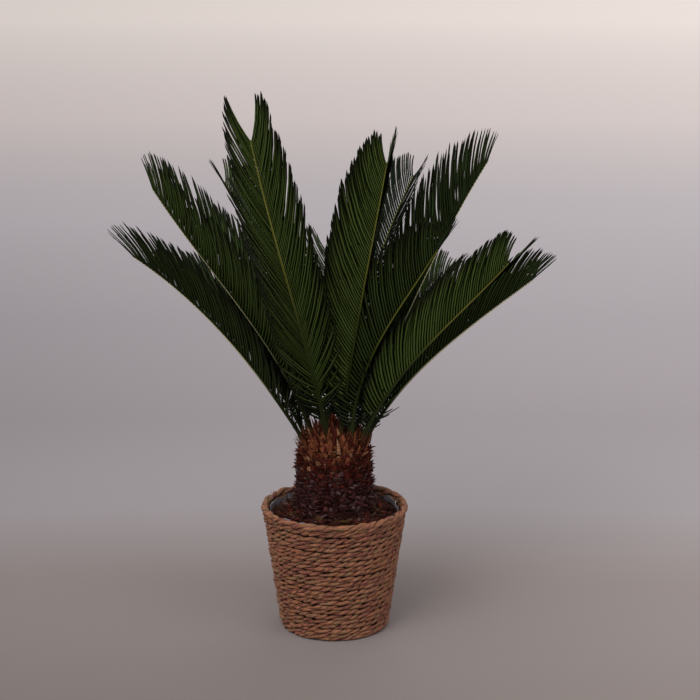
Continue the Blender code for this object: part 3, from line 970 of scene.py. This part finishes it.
@dataclass
class Trunk:
    """Scaly trunk: a core with relief, old leaf bases, and the wool and scales of its crown."""

    foot_z: float = 0.160
    core_rows: int = 72
    core_columns: int = 168
    core_inset: float = 0.0030
    least_radius: float = 0.0015
    boss_waves: Pair = (20, 260)
    boss_height: float = 0.0011
    lump_waves: tuple[int, ...] = (5, 9, 14, 23, 31)
    lump_rises: Pair = (80, 420)
    lump_height: float = 0.00045
    scales_low: float = 0.166
    scales_reach: float = 0.122
    share_reach: float = 0.12
    scale_rows: int = 26
    scales_a_row: int = 46
    scale_length: float = 0.0095
    scale_width: float = 0.0086
    scale_thickness: float = 0.0011
    scale_inset: float = 0.0040
    scale_lean: Curve = Curve((0, 0.5, 1), (44, 50, 66))
    scale_lean_noise: float = 20
    scale_swing_noise: float = 0.45
    scale_curl_noise: float = 34
    bud_scales: int = 150
    bud_radius: float = 0.050
    bud_inset: float = 0.004
    bud_lean: Curve = Curve((0, 0.05), (86, 66))
    bud_length: Pair = (0.016, 0.034)
    bud_width: Pair = (0.0035, 0.0065)
    bud_curl: Pair = (6, 8)
    wool_strands: int = 1500
    wool_top: float = 0.298
    wool_reach: float = 0.060
    wool_inset: float = 0.0038
    wool_length: Pair = (0.008, 0.020)
    wool_half: Pair = (0.00022, 0.00050)
    wool_lean: Pair = (74, 13)
    wool_curl: Pair = (20, 55)
    wool_swing: float = 0.55
    seed: int = 41

    def core(self) -> Mesh:
        """Closed core with the bosses of old leaf bases, cut flat at soil level.

        Returns:
            The core's mesh.
        """
        rng = np.random.default_rng(self.seed)
        z = np.linspace(self.foot_z, TRUNK_TIP_Z - 0.0004, self.core_rows)
        zz, aa = np.meshgrid(z, full_turn(self.core_columns), indexing="ij")
        radius = np.maximum(TRUNK_RADIUS(zz) - self.core_inset, self.least_radius)
        around, upward = self.boss_waves
        bosses = np.cos(around * aa + upward * zz) * np.cos(around * aa - upward * zz)
        lumps = sum(
            np.sin(count * aa + rng.uniform(0, math.tau))
            * np.cos(rng.uniform(*self.lump_rises) * zz + rng.uniform(0, math.tau))
            for count in self.lump_waves
        )
        fade = np.clip((TRUNK_TIP_Z - zz) / 0.02, 0.0, 1.0)
        radius = radius + fade * (self.boss_height * bosses + self.lump_height * lumps)
        return Pile().add_lofts(polar(aa, radius, zz)[None], TRUNK_TIP_Z * UP[None]).mesh("trunk_core")

    def scales(self) -> Mesh:
        """Old leaf bases and dry scale leaves in spirals up the trunk.

        Returns:
            The scales as one mesh.
        """
        rng = np.random.default_rng(self.seed + 1)
        count = self.scale_rows * self.scales_a_row
        index = np.arange(count)
        height = self.scales_low + self.scales_reach * (index + 0.5) / count + rng.normal(0, 0.0012, count)
        angle = index * GOLDEN_TURN + rng.normal(0, 0.03, count)
        share = np.clip((height - self.scales_low) / self.share_reach, 0.0, 1.0)
        length = self.scale_length * rng.uniform(0.6, 1.4, count) * (0.9 + 0.35 * share)
        lean = np.radians(self.scale_lean(share) + rng.normal(0, self.scale_lean_noise, count))[:, None]
        swing = rng.normal(0, self.scale_swing_noise, count)[:, None]
        curl = np.radians(rng.normal(0, self.scale_curl_noise, count))[:, None]
        t = np.array([0.0, 0.35, 0.7, 1.0])
        width = self.scale_width * rng.uniform(0.6, 1.15, count)[:, None] * (0.40, 0.50, 0.36)
        thick = self.scale_thickness * rng.uniform(0.8, 1.6, count)[:, None] * (1.2, 1.0, 0.6)
        kinds = self.kinds_by_height(share, rng)
        root = TRUNK_RADIUS(height) - self.scale_inset
        shape = (t, lean + curl * t, swing * t, width, thick)
        return Sprouts(angle, root, height, length, *shape, 6, kinds).mesh("trunk_leaf_bases")

    @staticmethod
    def kinds_by_height(share: Array, rng: Draws) -> Array:
        """Which bark colour each scale takes: purple-brown low, red-brown, then tan above.

        Args:
            share: Height of each scale, as a share of the trunk's.
            rng: Source of the chances.

        Returns:
            The material slot of each scale.
        """
        chance = share + rng.normal(0, 0.09, len(share))
        kinds = np.where(chance < 0.50, 0, np.where(chance < 0.84, 2, 3))
        kinds = np.where((rng.random(len(share)) < 0.24) & (share < 0.6), 1, kinds)
        return np.where((rng.random(len(share)) < 0.05) & (share > 0.6), 4, kinds)

    def bud(self) -> Mesh:
        """Narrow upright scale leaves between the feet of the fronds.

        Returns:
            The scale leaves as one mesh.
        """
        rng = np.random.default_rng(self.seed + 2)
        count = self.bud_scales
        radius = self.bud_radius * np.sqrt((np.arange(count) + 0.5) / count)
        angle = np.arange(count) * GOLDEN_TURN + rng.normal(0, 0.1, count)
        length = rng.uniform(*self.bud_length, count)
        lean = np.radians(self.bud_lean(radius) + rng.normal(0, 6, count))[:, None]
        curl = np.radians(rng.normal(*self.bud_curl, count))[:, None]
        swing = rng.normal(0, 0.16, count)[:, None]
        t = np.array([0.0, 0.25, 0.55, 0.82, 1.0])
        width = 0.5 * rng.uniform(*self.bud_width, count)[:, None] * (0.9, 1.0, 0.7, 0.35)
        kinds = rng.choice(3, count, p=[0.62, 0.30, 0.08])
        foot = CROWN_HEIGHT(radius) - self.bud_inset
        shape = (t, lean + curl * t, swing * t, width, 0.35 * width)
        return Sprouts(angle, radius, foot, length, *shape, 6, kinds).mesh("trunk_bud_scales")

    def wool(self) -> Mesh:
        """Fine curly strands that cover the upper trunk and the feet of the fronds.

        Returns:
            The strands as one mesh.
        """
        rng = np.random.default_rng(self.seed + 3)
        count = self.wool_strands
        height = self.wool_top - self.wool_reach * rng.random(count) ** 1.2
        angle = rng.uniform(0, math.tau, count)
        length = rng.uniform(*self.wool_length, count)
        lean = np.radians(rng.normal(*self.wool_lean, count))[:, None]
        curl = np.radians(rng.normal(*self.wool_curl, count))[:, None]
        swing = rng.normal(0, self.wool_swing, count)[:, None]
        t = np.linspace(0, 1, 5)
        half = rng.uniform(*self.wool_half, count)[:, None] * (1.0, 1.0, 0.8, 0.6)
        kinds = rng.choice(2, count, p=[0.65, 0.35])
        root = TRUNK_RADIUS(height) - self.wool_inset
        shape = (t, lean + curl * t, swing * (2 * t - 0.3), half, half)
        return Sprouts(angle, root, height, length, *shape, 3, kinds).mesh("trunk_wool")

    def build(self) -> None:
        """Make and dress the trunk's pieces."""
        purple, mauve, red, tan, cream, base, felt, pale = (made.material() for made in TRUNK_FINISHES)
        for mesh, materials, smooth in (
            (self.core(), [base], 60),
            (self.scales(), [purple, mauve, red, tan, cream], 40),
            (self.bud(), [red, tan, cream], 40),
            (self.wool(), [felt, pale], None),
        ):
            dress(mesh, materials, ["trunk"], smooth)


@dataclass
class Soil:
    """Dished potting mix with bark chips, filling the liner to the basket's floor."""

    edge_z: float = 0.1640
    collar_z: float = 0.1765
    collar_radius: float = 0.0700
    floor_z: float = 0.0095
    liner_gap: float = 0.0012
    lump_height: float = 0.0022
    hole_radius: float = 0.004
    rings: int = 40
    columns: int = 180
    chips: int = 1500
    chips_from: float = 0.058
    chip_width: Pair = (0.22, 0.55)
    chip_flatness: float = 0.45
    chip_noise: float = 0.00022
    near_trunk: Curve = Curve((0.060, 0.086), (1.0, 0.0))
    seed: int = 67
    finishes: tuple[RoughFinish, ...] = (
        RoughFinish("potting_mix", (0.010, 0.003, 0.0022), (0.030, 0.009, 0.006), 500, 0.0022, 0.95),
        RoughFinish("chip_dark_brown", (0.019, 0.0048, 0.0035), (0.047, 0.012, 0.0085), 600, 0.0005),
        RoughFinish("chip_red_brown", (0.045, 0.0085, 0.005), (0.096, 0.022, 0.0125), 600, 0.0005),
        RoughFinish("chip_olive", (0.036, 0.019, 0.006), (0.080, 0.042, 0.016), 600, 0.0004),
        RoughFinish("chip_greyish", (0.064, 0.034, 0.034), (0.120, 0.070, 0.068), 600, 0.0003),
    )

    def edge_radius(self, z: float) -> float:
        """Radius of the fill at a height, just inside the liner."""
        return float(BASKET_RADIUS(z)) - BASKET_WALL - self.liner_gap

    def top(self, radius: Array, angle: Array) -> Array:
        """The soil's surface, with lumps.

        Args:
            radius: Distance from the axis.
            angle: Angle about it.

        Returns:
            The point of the surface at each place.
        """
        reach = self.edge_radius(self.edge_z) - self.collar_radius
        fall = np.clip((radius - self.collar_radius) / reach, 0, 1) ** 1.15
        lumps = uneven(polar(angle, radius, 1.0).reshape(-1, 3), (90, 90, 3), (240, 240, 7))
        height = self.collar_z + (self.edge_z - self.collar_z) * fall
        return polar(angle, radius, height + self.lump_height * lumps.reshape(radius.shape))

    def fill(self) -> Mesh:
        """The closed fill: underside, side and lumpy top.

        Returns:
            The fill's mesh.
        """
        angle = full_turn(self.columns)
        radii = np.linspace(self.edge_radius(self.edge_z), self.hole_radius, self.rings)
        top = self.top(*np.meshgrid(radii, angle, indexing="ij"))
        under = polar(angle, self.edge_radius(self.floor_z), self.floor_z)
        rings = np.concatenate([under[None], top])[None]
        return Pile().add_lofts(rings, top[-1, :, 2].mean() * UP[None]).mesh("soil_fill")

    def bark_chips(self) -> Mesh:
        """Chips, crumbs and bits of fibre that lie on the soil.

        Returns:
            The chips as one mesh.
        """
        rng = np.random.default_rng(self.seed)
        count = self.chips
        edge = self.edge_radius(self.edge_z) - 0.002
        radius = np.sqrt(rng.uniform(self.chips_from**2, edge**2, count))
        near = self.near_trunk(radius)
        centre = self.top(radius, rng.uniform(0, math.tau, count)) + 0.0004 * UP
        aim = rng.uniform(0, math.tau, count)
        heading = unit(polar(aim, 1.0, rng.normal(0, 0.28, count) * (1.0 + 1.6 * near) + 0.25 * near))
        length = (rng.gamma(3.0, 0.0017, count) + 0.0026) * (1.0 + 0.45 * near)
        width = length * rng.uniform(*self.chip_width, count)
        t = np.array([-0.5, -0.2, 0.25, 0.5])
        line = centre[:, None] + heading[:, None] * (t * length[:, None])[..., None]
        half = 0.5 * width[:, None] * (0.6, 1.0, 0.9) * rng.uniform(0.8, 1.2, (count, 3))
        rings = tube_rings(line[:, :-1], UP, self.chip_flatness * half, half, 5)
        rings = rings + rng.normal(0, self.chip_noise, rings.shape)
        kinds = rng.choice(4, count, p=[0.42, 0.30, 0.18, 0.10])
        return Pile().add_lofts(rings, line[:, -1], kinds[:, None]).mesh("soil_chips")

    def build(self) -> None:
        """Make and dress the soil's pieces."""
        mix, *chips = (made.material() for made in self.finishes)
        for mesh, materials, smooth in ((self.fill(), [mix], 70), (self.bark_chips(), chips, None)):
            dress(mesh, materials, ["soil"], smooth)


@dataclass
class Liner:
    """Crinkled film up the inside of the basket, with a wavy upper edge.

    A bulge is the angle of its middle, its breadth, and how far the film leaves the wall
    and rises there.
    """

    floor_z: float = 0.0083
    thickness: float = 0.0005
    columns: int = 220
    rows: int = 26
    row_power: float = 0.6
    free_from: float = 0.150
    gap: float = 0.0008
    slack: float = 0.0016
    fold_depth: float = 0.0060
    edge_wave: float = 0.0024
    edge_drop: float = 0.0004
    bulges: tuple[tuple[float, ...], ...] = ((4.2, 0.12, 0.0065, 0.0010), (0.75, 0.10, 0.0035, 0.0020))
    seed: int = 83
    finish: FilmFinish = FilmFinish("liner_film", (0.080, 0.068, 0.080), (0.34, 0.31, 0.34))

    def film(self) -> bpy.types.Object:
        """The film, from an open cylinder that is cut into rows, closed, crinkled and thickened.

        Returns:
            The finished piece.
        """
        bpy.ops.object.select_all(action="DESELECT")
        bpy.ops.mesh.primitive_cylinder_add(
            vertices=self.columns,
            radius=1.0,
            depth=LINER_TOP - self.floor_z,
            end_fill_type="NOTHING",
            location=(0.0, 0.0, 0.5 * (self.floor_z + LINER_TOP)),
        )
        piece = bpy.context.object
        piece.name = "liner_film"
        bpy.ops.object.transform_apply(location=True, rotation=True, scale=True)
        bpy.ops.object.mode_set(mode="EDIT")
        for row in range(1, self.rows):
            height = self.floor_z + (LINER_TOP - self.floor_z) * (row / self.rows) ** self.row_power
            bpy.ops.mesh.select_all(action="SELECT")
            bpy.ops.mesh.bisect(plane_co=(0.0, 0.0, height), plane_no=(0.0, 0.0, 1.0))
        bpy.ops.object.mode_set(mode="OBJECT")
        self.close_foot(piece)
        self.crinkle(piece.data)
        select_only(piece)
        wall = piece.modifiers.new("wall", "SOLIDIFY")
        wall.thickness = self.thickness
        wall.offset = -1.0
        bpy.ops.object.modifier_apply(modifier="wall")
        return piece

    def close_foot(self, piece: bpy.types.Object) -> None:
        """Close the film's foot with a face, in from its lowest edge.

        Args:
            piece: The film, as an open cylinder.
        """
        mesh = piece.data
        low = min(vertex.co.z for vertex in mesh.vertices) + 1e-5
        select_only(piece)
        for vertex in mesh.vertices:
            vertex.select = vertex.co.z < low
        for edge in mesh.edges:
            edge.select = all(mesh.vertices[i].co.z < low for i in edge.vertices)
        bpy.ops.object.mode_set(mode="EDIT")
        bpy.ops.mesh.select_mode(type="EDGE")
        bpy.ops.mesh.edge_face_add()
        bpy.ops.mesh.select_all(action="SELECT")
        bpy.ops.mesh.normals_make_consistent(inside=False)
        bpy.ops.object.mode_set(mode="OBJECT")

    def crinkle(self, mesh: Mesh) -> None:
        """Move the film to the basket's wall and fold it, most of all at the top.

        Args:
            mesh: The film's mesh.
        """
        rng = np.random.default_rng(self.seed)
        points = np.empty(len(mesh.vertices) * 3, np.float32)
        mesh.vertices.foreach_get("co", points)
        x, y, z = points.reshape(-1, 3).astype(float).T
        angle = np.arctan2(y, x)
        free = np.clip((z - self.free_from) / (LINER_TOP - self.free_from), 0.0, 1.0)
        folds = uneven(polar(angle, 1.0, z), (9, 9, 70), (24, 24, 150))
        inward = self.slack + self.fold_depth * np.abs(folds)
        upward = self.edge_wave * waves(angle, rng, (3, 5, 8, 13, 21)) - self.edge_drop
        for middle, breadth, away, rise in self.bulges:
            bulge = np.exp(-((angle % math.tau - middle) ** 2) / breadth)
            inward, upward = inward + away * bulge, upward + rise * bulge
        radius = BASKET_RADIUS(z) - BASKET_WALL - self.gap - free * inward
        points = polar(angle, radius, z + free**2 * upward)
        mesh.vertices.foreach_set("co", points.astype(np.float32).ravel())
        mesh.update()

    def build(self) -> None:
        """Make and dress the film."""
        dress(self.film(), [self.finish.material()], ["liner"], 50)


@dataclass(frozen=True)
class Rope:
    """A rope of two twisted strands: their distance from its centre line and half sizes.

    Sway, swell and flatness are the strength and the pace of the strands' unevenness.
    """

    offset: float
    half_out: float
    half_across: float
    sides: int = 8
    strand_mark: float = 7.0
    sway: Pair = (0.9, 55)
    swell: Pair = (0.16, 70)
    flatness: Pair = (0.14, 40)

    @property
    def reach(self) -> float:
        """Distance from the centre line to the outside of a strand."""
        return self.offset + self.half_out

    def mesh(self, name: str, path: Array, out: Array, lay: float, seed: int) -> Mesh:
        """The two strands, twisted round a path.

        Args:
            name: The mesh's name.
            path: The rope's centre line.
            out: Directions away from the basket along it.
            lay: Length of rope in one full twist.
            seed: Seed of the strands' unevenness.

        Returns:
            The strands as one mesh.
        """
        rng = np.random.default_rng(seed)
        ahead = unit(np.gradient(path, axis=0))
        out = unit(out - ahead * (out * ahead).sum(-1, keepdims=True))
        across = np.cross(out, ahead)
        length = np.append(0.0, np.cumsum(np.linalg.norm(np.diff(path, axis=0), axis=1)))
        sway = self.sway[0] * waves(length * self.sway[1], rng, (1.0, 1.7, 2.9))
        pile = Pile()
        for strand in range(2):
            turn = (length / lay * math.tau + strand * math.pi + sway)[:, None]
            away = out * np.cos(turn) + across * np.sin(turn)
            swell = 1.0 + self.swell[0] * waves(length * self.swell[1], rng, (1.0, 2.3, 4.1))
            flat = 1.0 + self.flatness[0] * waves(length * self.flatness[1], rng, (1.0, 1.9, 3.3))
            halves = ((self.half_out * swell * flat)[None], (self.half_across * swell / flat)[None])
            rings = tube_rings((path + away * self.offset)[None], away[None], *halves, self.sides)
            along = np.append(length, length[-1])
            pile.add_lofts(rings, along=along, marks=np.array([strand * self.strand_mark]))
        return pile.mesh(name)


@dataclass
class Basket:
    """Tapered basket of two-strand seagrass rope, coiled in rows, with a thick rim."""

    rope: Rope = Rope(0.0021, 0.0020, 0.0026)
    lay: float = 0.031
    sample: float = 0.0029
    rim_rope: Rope = Rope(0.0023, 0.0027, 0.0033)
    rim_lays: int = 13
    rim_over: float = 0.0008
    top_gap: float = 0.0028
    foot_gap: float = 0.0010
    spare_turns: float = 0.8
    level_start: float = 0.9
    level_end: float = 0.83
    row_sway: float = 0.0007
    wall_sway: float = 0.00035
    backing_inset: Pair = (0.0034, 0.0044)
    loose_fibres: int = 260
    fibre_length: Pair = (0.004, 0.013)
    fibre_half: Pair = (0.00015, 0.00055)
    fibre_lift: Pair = (8, 38)
    seed: int = 97
    stops: tuple[tuple[float, Colour], ...] = (
        (0.0, (0.131, 0.048, 0.027)),
        (0.18, (0.313, 0.101, 0.066)),
        (0.34, (0.413, 0.152, 0.087)),
        (0.50, (0.501, 0.203, 0.105)),
        (0.62, (0.313, 0.191, 0.092)),
        (0.76, (0.527, 0.180, 0.068)),
        (0.90, (0.464, 0.225, 0.143)),
        (1.0, (0.501, 0.304, 0.168)),
    )
    # Painted shade of the crevices between the rope's fibres
    crevice_shade: Colour = (0.022, 0.007, 0.005)
    # Colour of the backing: painted shade behind the rope rows
    shade_sheet: RoughFinish = RoughFinish(
        "backing_painted_shade", (0.012, 0.006, 0.004), (0.035, 0.017, 0.010), 400, 0.001
    )

    @property
    def row(self) -> float:
        """Height of one row of rope."""
        return (BASKET_HEIGHT - RIM_HEIGHT) / ROPE_ROWS

    def wall(self) -> Mesh:
        """Rope rows from under the rim down to the foot, as one coil.

        Returns:
            The rows' mesh.
        """
        turns = ROPE_ROWS + self.spare_turns
        first = BASKET_HEIGHT - RIM_HEIGHT - 0.5 * self.row + self.top_gap
        last = 0.5 * self.row + self.foot_gap
        drop = (first - last) / (turns - self.level_start - self.level_end)
        mean = 0.5 * (BASKET_TOP_RADIUS + BASKET_FOOT_RADIUS) - 0.5 * BASKET_WALL
        rng = np.random.default_rng(self.seed)
        count = int(turns * math.tau * mean / self.sample)
        angle = np.linspace(QUARTER_TURN, (0.5 + 2 * turns) * math.pi, count)
        fallen = np.maximum((angle - angle[0]) / math.tau - self.level_start, 0.0)
        z = np.maximum(first - drop * fallen, last)
        sway = self.row_sway * waves(angle, rng, (0.37, 1.13, 2.71, 4.3))
        radius = BASKET_RADIUS(z) - 0.5 * BASKET_WALL + self.wall_sway * waves(angle, rng, (0.7, 3.1, 5.3))
        path = polar(angle, radius, z + sway * (z > self.row))
        return self.rope.mesh("basket_rope_rows", path, radial(angle), self.lay, self.seed + 1)

    def underside(self) -> Mesh:
        """Flat spiral of rope that closes the basket's foot.

        Returns:
            The spiral's mesh.
        """
        outer = BASKET_FOOT_RADIUS - 0.5 * BASKET_WALL - self.row
        turns = outer / self.row - 0.35
        angle = np.linspace(0.0, turns * math.tau, int(math.pi * outer**2 / self.row / self.sample))
        angle = angle[-1] * np.sqrt(angle / angle[-1])
        path = polar(angle, outer - self.row * angle / math.tau, 0.5 * self.row + 0.0014)
        return self.rope.mesh("basket_underside", path, -UP, self.lay, self.seed + 2)

    def rim(self) -> Mesh:
        """Thick twisted rope round the mouth.

        Returns:
            The rim's mesh.
        """
        angle = np.linspace(QUARTER_TURN, 2.51 * math.pi, 300)
        radius = BASKET_TOP_RADIUS + self.rim_over - self.rim_rope.reach
        path = polar(angle, radius, BASKET_HEIGHT - self.rim_over - self.rim_rope.reach)
        lay = math.tau * radius / self.rim_lays
        return self.rim_rope.mesh("basket_rim", path, radial(angle), lay, self.seed + 3)

    def backing(self) -> Mesh:
        """Dark sheet behind the rows, from the rim down and across the foot: painted shade seen through the
        gaps between them.

        Returns:
            The backing's mesh.
        """
        outer, inner = self.backing_inset
        heights = np.array([0.0045, 0.0045, 0.008, 0.090, 0.176, 0.176, 0.090, 0.0066, 0.0066])
        radii = BASKET_RADIUS(heights) - np.array([0, 0, outer, outer, outer, inner, inner, inner, 0])
        radii[[0, 1, -1]] = 0.002, BASKET_FOOT_RADIUS - 0.006, 0.002
        rings = polar(full_turn(120), radii[:, None], heights[:, None])
        return Pile().add_lofts(rings[None]).mesh("basket_backing")

    def fibres(self) -> Mesh:
        """Loose ends of seagrass that stand out of the rows.

        Returns:
            The fibres as one mesh.
        """
        rng = np.random.default_rng(self.seed + 4)
        count = self.loose_fibres
        z = rng.uniform(0.006, BASKET_HEIGHT - 0.002, count)
        angle = rng.uniform(0, math.tau, count)
        out, level = radial(angle), radial(angle + QUARTER_TURN)
        length = rng.uniform(*self.fibre_length, count)
        aside = level * rng.choice([-1, 1], count)[:, None]
        heading = unit(aside + UP * rng.normal(0.25, 0.35, count)[:, None])
        t = np.linspace(0, 1, 5)
        lift = (np.radians(rng.uniform(*self.fibre_lift, count))[:, None] * (1 - 0.4 * t))[..., None]
        ahead = heading[:, None] * np.cos(lift) + out[:, None] * np.sin(lift)
        line = grow(polar(angle, BASKET_RADIUS(z) - 0.0012, z), ahead, t, length)
        half = rng.uniform(*self.fibre_half, count)[:, None] * (1.0, 1.0, 0.8, 0.5)
        rings = tube_rings(line[:, :-1], out[:, None], 0.5 * half, half, 4)
        pile = Pile().add_lofts(rings, line[:, -1], 0, np.linspace(0, 0.02, 5), rng.uniform(0, 9, count))
        return pile.mesh("basket_loose_fibres")

    def build(self) -> None:
        """Make and dress the basket's pieces."""
        rope = RopeFinish("seagrass_rope", self.stops, self.crevice_shade).material()
        # The backing is dark: painted shade seen through the gaps between the rows
        dark = self.shade_sheet.material()
        for mesh in (self.wall(), self.underside(), self.rim(), self.fibres()):
            dress(mesh, [rope], ["basket"], 60)
        dress(self.backing(), [dark], ["basket"], 30)


@dataclass(frozen=True)
class Lamp:
    """A soft rectangular lamp aimed at a point."""

    name: str
    place: Triple
    size: Pair
    power: float
    colour: Colour = (1.0, 1.0, 1.0)
    aim: Triple = (0.0, 0.0, 0.35)

    def build(self) -> None:
        """Add the lamp to the scene."""
        light = bpy.data.lights.new(self.name, "AREA")
        light.shape = "RECTANGLE"
        light.size, light.size_y = self.size
        light.energy, light.color = self.power, self.colour
        lamp = link(self.name, light)
        lamp.location = self.place
        lamp.rotation_euler = (Vector(self.aim) - Vector(self.place)).to_track_quat("-Z", "Y").to_euler()


@dataclass
class Studio:
    """Pale floor with painted shade and light in its colour, soft light from above and in front, and the
    camera.
    """

    floor_size: float = 90.0
    # Painted shade near the plant and painted light far away: floor colour by distance
    floor_painted_light_by_distance: tuple[tuple[float, Colour], ...] = (
        (0.045, (0.188, 0.160, 0.152)),
        (0.052, (0.197, 0.168, 0.161)),
        (0.063, (0.216, 0.188, 0.182)),
        (0.079, (0.235, 0.202, 0.194)),
        (0.101, (0.302, 0.276, 0.286)),
        (0.115, (0.300, 0.274, 0.286)),
        (0.139, (0.283, 0.258, 0.272)),
        (0.200, (0.342, 0.314, 0.334)),
        (0.299, (0.504, 0.474, 0.500)),
        (0.487, (0.730, 0.655, 0.640)),
        (0.980, (0.945, 0.860, 0.810)),
    )
    tone_reach: float = 15.0
    tone_scale: Triple = (0.5, 1.0, 1.0)
    tone_start: Triple = (0.0, 1.0, 0.0)
    tone_depth: float = 1.5
    tone_slant: float = 0.2
    # Painted shade on the left and painted light on the right
    left_painted_shade: Colour = (0.86, 0.85, 0.85)
    right_painted_light: Colour = (1.10, 1.09, 1.08)
    sky: Colour = (1.0, 0.98, 0.98)
    sky_strength: float = 0.42
    sun_strength: float = 1.55
    sun_spread: float = 70.0
    sun_turn: Triple = (28.0, -16.0, 0.0)
    lamps: tuple[Lamp, ...] = (
        Lamp("key", (-1.3, -2.0, 2.3), (1.6, 1.2), 37.0, (1.0, 0.98, 0.96)),
        Lamp("fill", (1.9, -1.2, 1.5), (1.4, 1.4), 14.0, (0.97, 0.98, 1.0)),
        Lamp("back", (0.6, 1.9, 2.2), (1.8, 1.0), 14.0),
    )
    lens: float = 93.92
    camera_place: Triple = (0.0225, -2.509, 1.029)
    camera_turn: Triple = (76.139, 0.0, 0.0)

    def floor(self) -> None:
        """A wide floor with painted shade, darker near the plant and on its left, whose tone lifts slowly
        away from the plant to painted light, lighter on the right.
        """
        bpy.ops.object.select_all(action="DESELECT")
        bpy.ops.mesh.primitive_plane_add(size=self.floor_size, location=(0.0, 0.0, 0.0))
        piece = bpy.context.object
        piece.name = "studio_floor"
        graph = Graph("studio_floor", 0.85, 0.2)
        moved = graph.node("VectorMath", graph.stretched(graph.spot, self.tone_scale), self.tone_start)
        away = graph.node("VectorMath", moved.outputs["Vector"])
        away.operation = "LENGTH"
        reach = away.outputs["Value"]
        # Painted shade near the plant lifting to painted light far away, then darker on the left and lighter
        # on the right
        lift = graph.ramp(graph.span(reach, 0.0, self.tone_reach), self.floor_painted_light_by_distance)
        across = graph.node("SeparateXYZ", graph.spot).outputs[0]
        slant = graph.math("DIVIDE", across, graph.math("ADD", reach, self.tone_depth))
        share = graph.span(slant, -self.tone_slant, self.tone_slant)
        tone = graph.mix(share, self.left_painted_shade, self.right_painted_light)
        lift = graph.mix(1.0, lift, tone, "MULTIPLY")
        piece.data.materials.append(graph.finish(lift, graph.noise(graph.spot, 300.0), 0.05, 0.0002))

    def world(self) -> None:
        """Even light from all round."""
        world = bpy.data.worlds.new("studio")
        bpy.context.scene.world = world
        world.use_nodes = True
        background = world.node_tree.nodes["Background"]
        background.inputs["Color"].default_value = (*self.sky, 1.0)
        background.inputs["Strength"].default_value = self.sky_strength

    def sun(self) -> None:
        """Broad light from high in front, the same at every distance."""
        light = bpy.data.lights.new("overhead", "SUN")
        light.energy, light.angle = self.sun_strength, math.radians(self.sun_spread)
        link("overhead", light).rotation_euler = np.radians(self.sun_turn)

    def camera(self) -> None:
        """The camera at the photograph's angle."""
        data = bpy.data.cameras.new("camera")
        data.lens, data.sensor_width, data.clip_end = self.lens, 36.0, 200.0
        camera = link("camera", data)
        camera.location = self.camera_place
        camera.rotation_euler = np.radians(self.camera_turn)
        bpy.context.scene.camera = camera

    def build(self) -> None:
        """Set up floor, lights, camera and the colour view."""
        self.floor()
        self.world()
        self.sun()
        for lamp in self.lamps:
            lamp.build()
        self.camera()
        bpy.context.scene.view_settings.view_transform = "Standard"


def main() -> None:
    """Build every sub-assembly in order."""
    logging.basicConfig(level=logging.INFO, format="%(message)s")
    steps: tuple[tuple[str, Callable[[], None]], ...] = (
        ("studio", Studio().build),
        ("basket", Basket().build),
        ("liner", Liner().build),
        ("soil", Soil().build),
        ("trunk", Trunk().build),
        ("crown", Crown().build),
    )
    for name, build in steps:
        build()
        LOG.info("%s done", name)


if __name__ == "__main__":
    main()
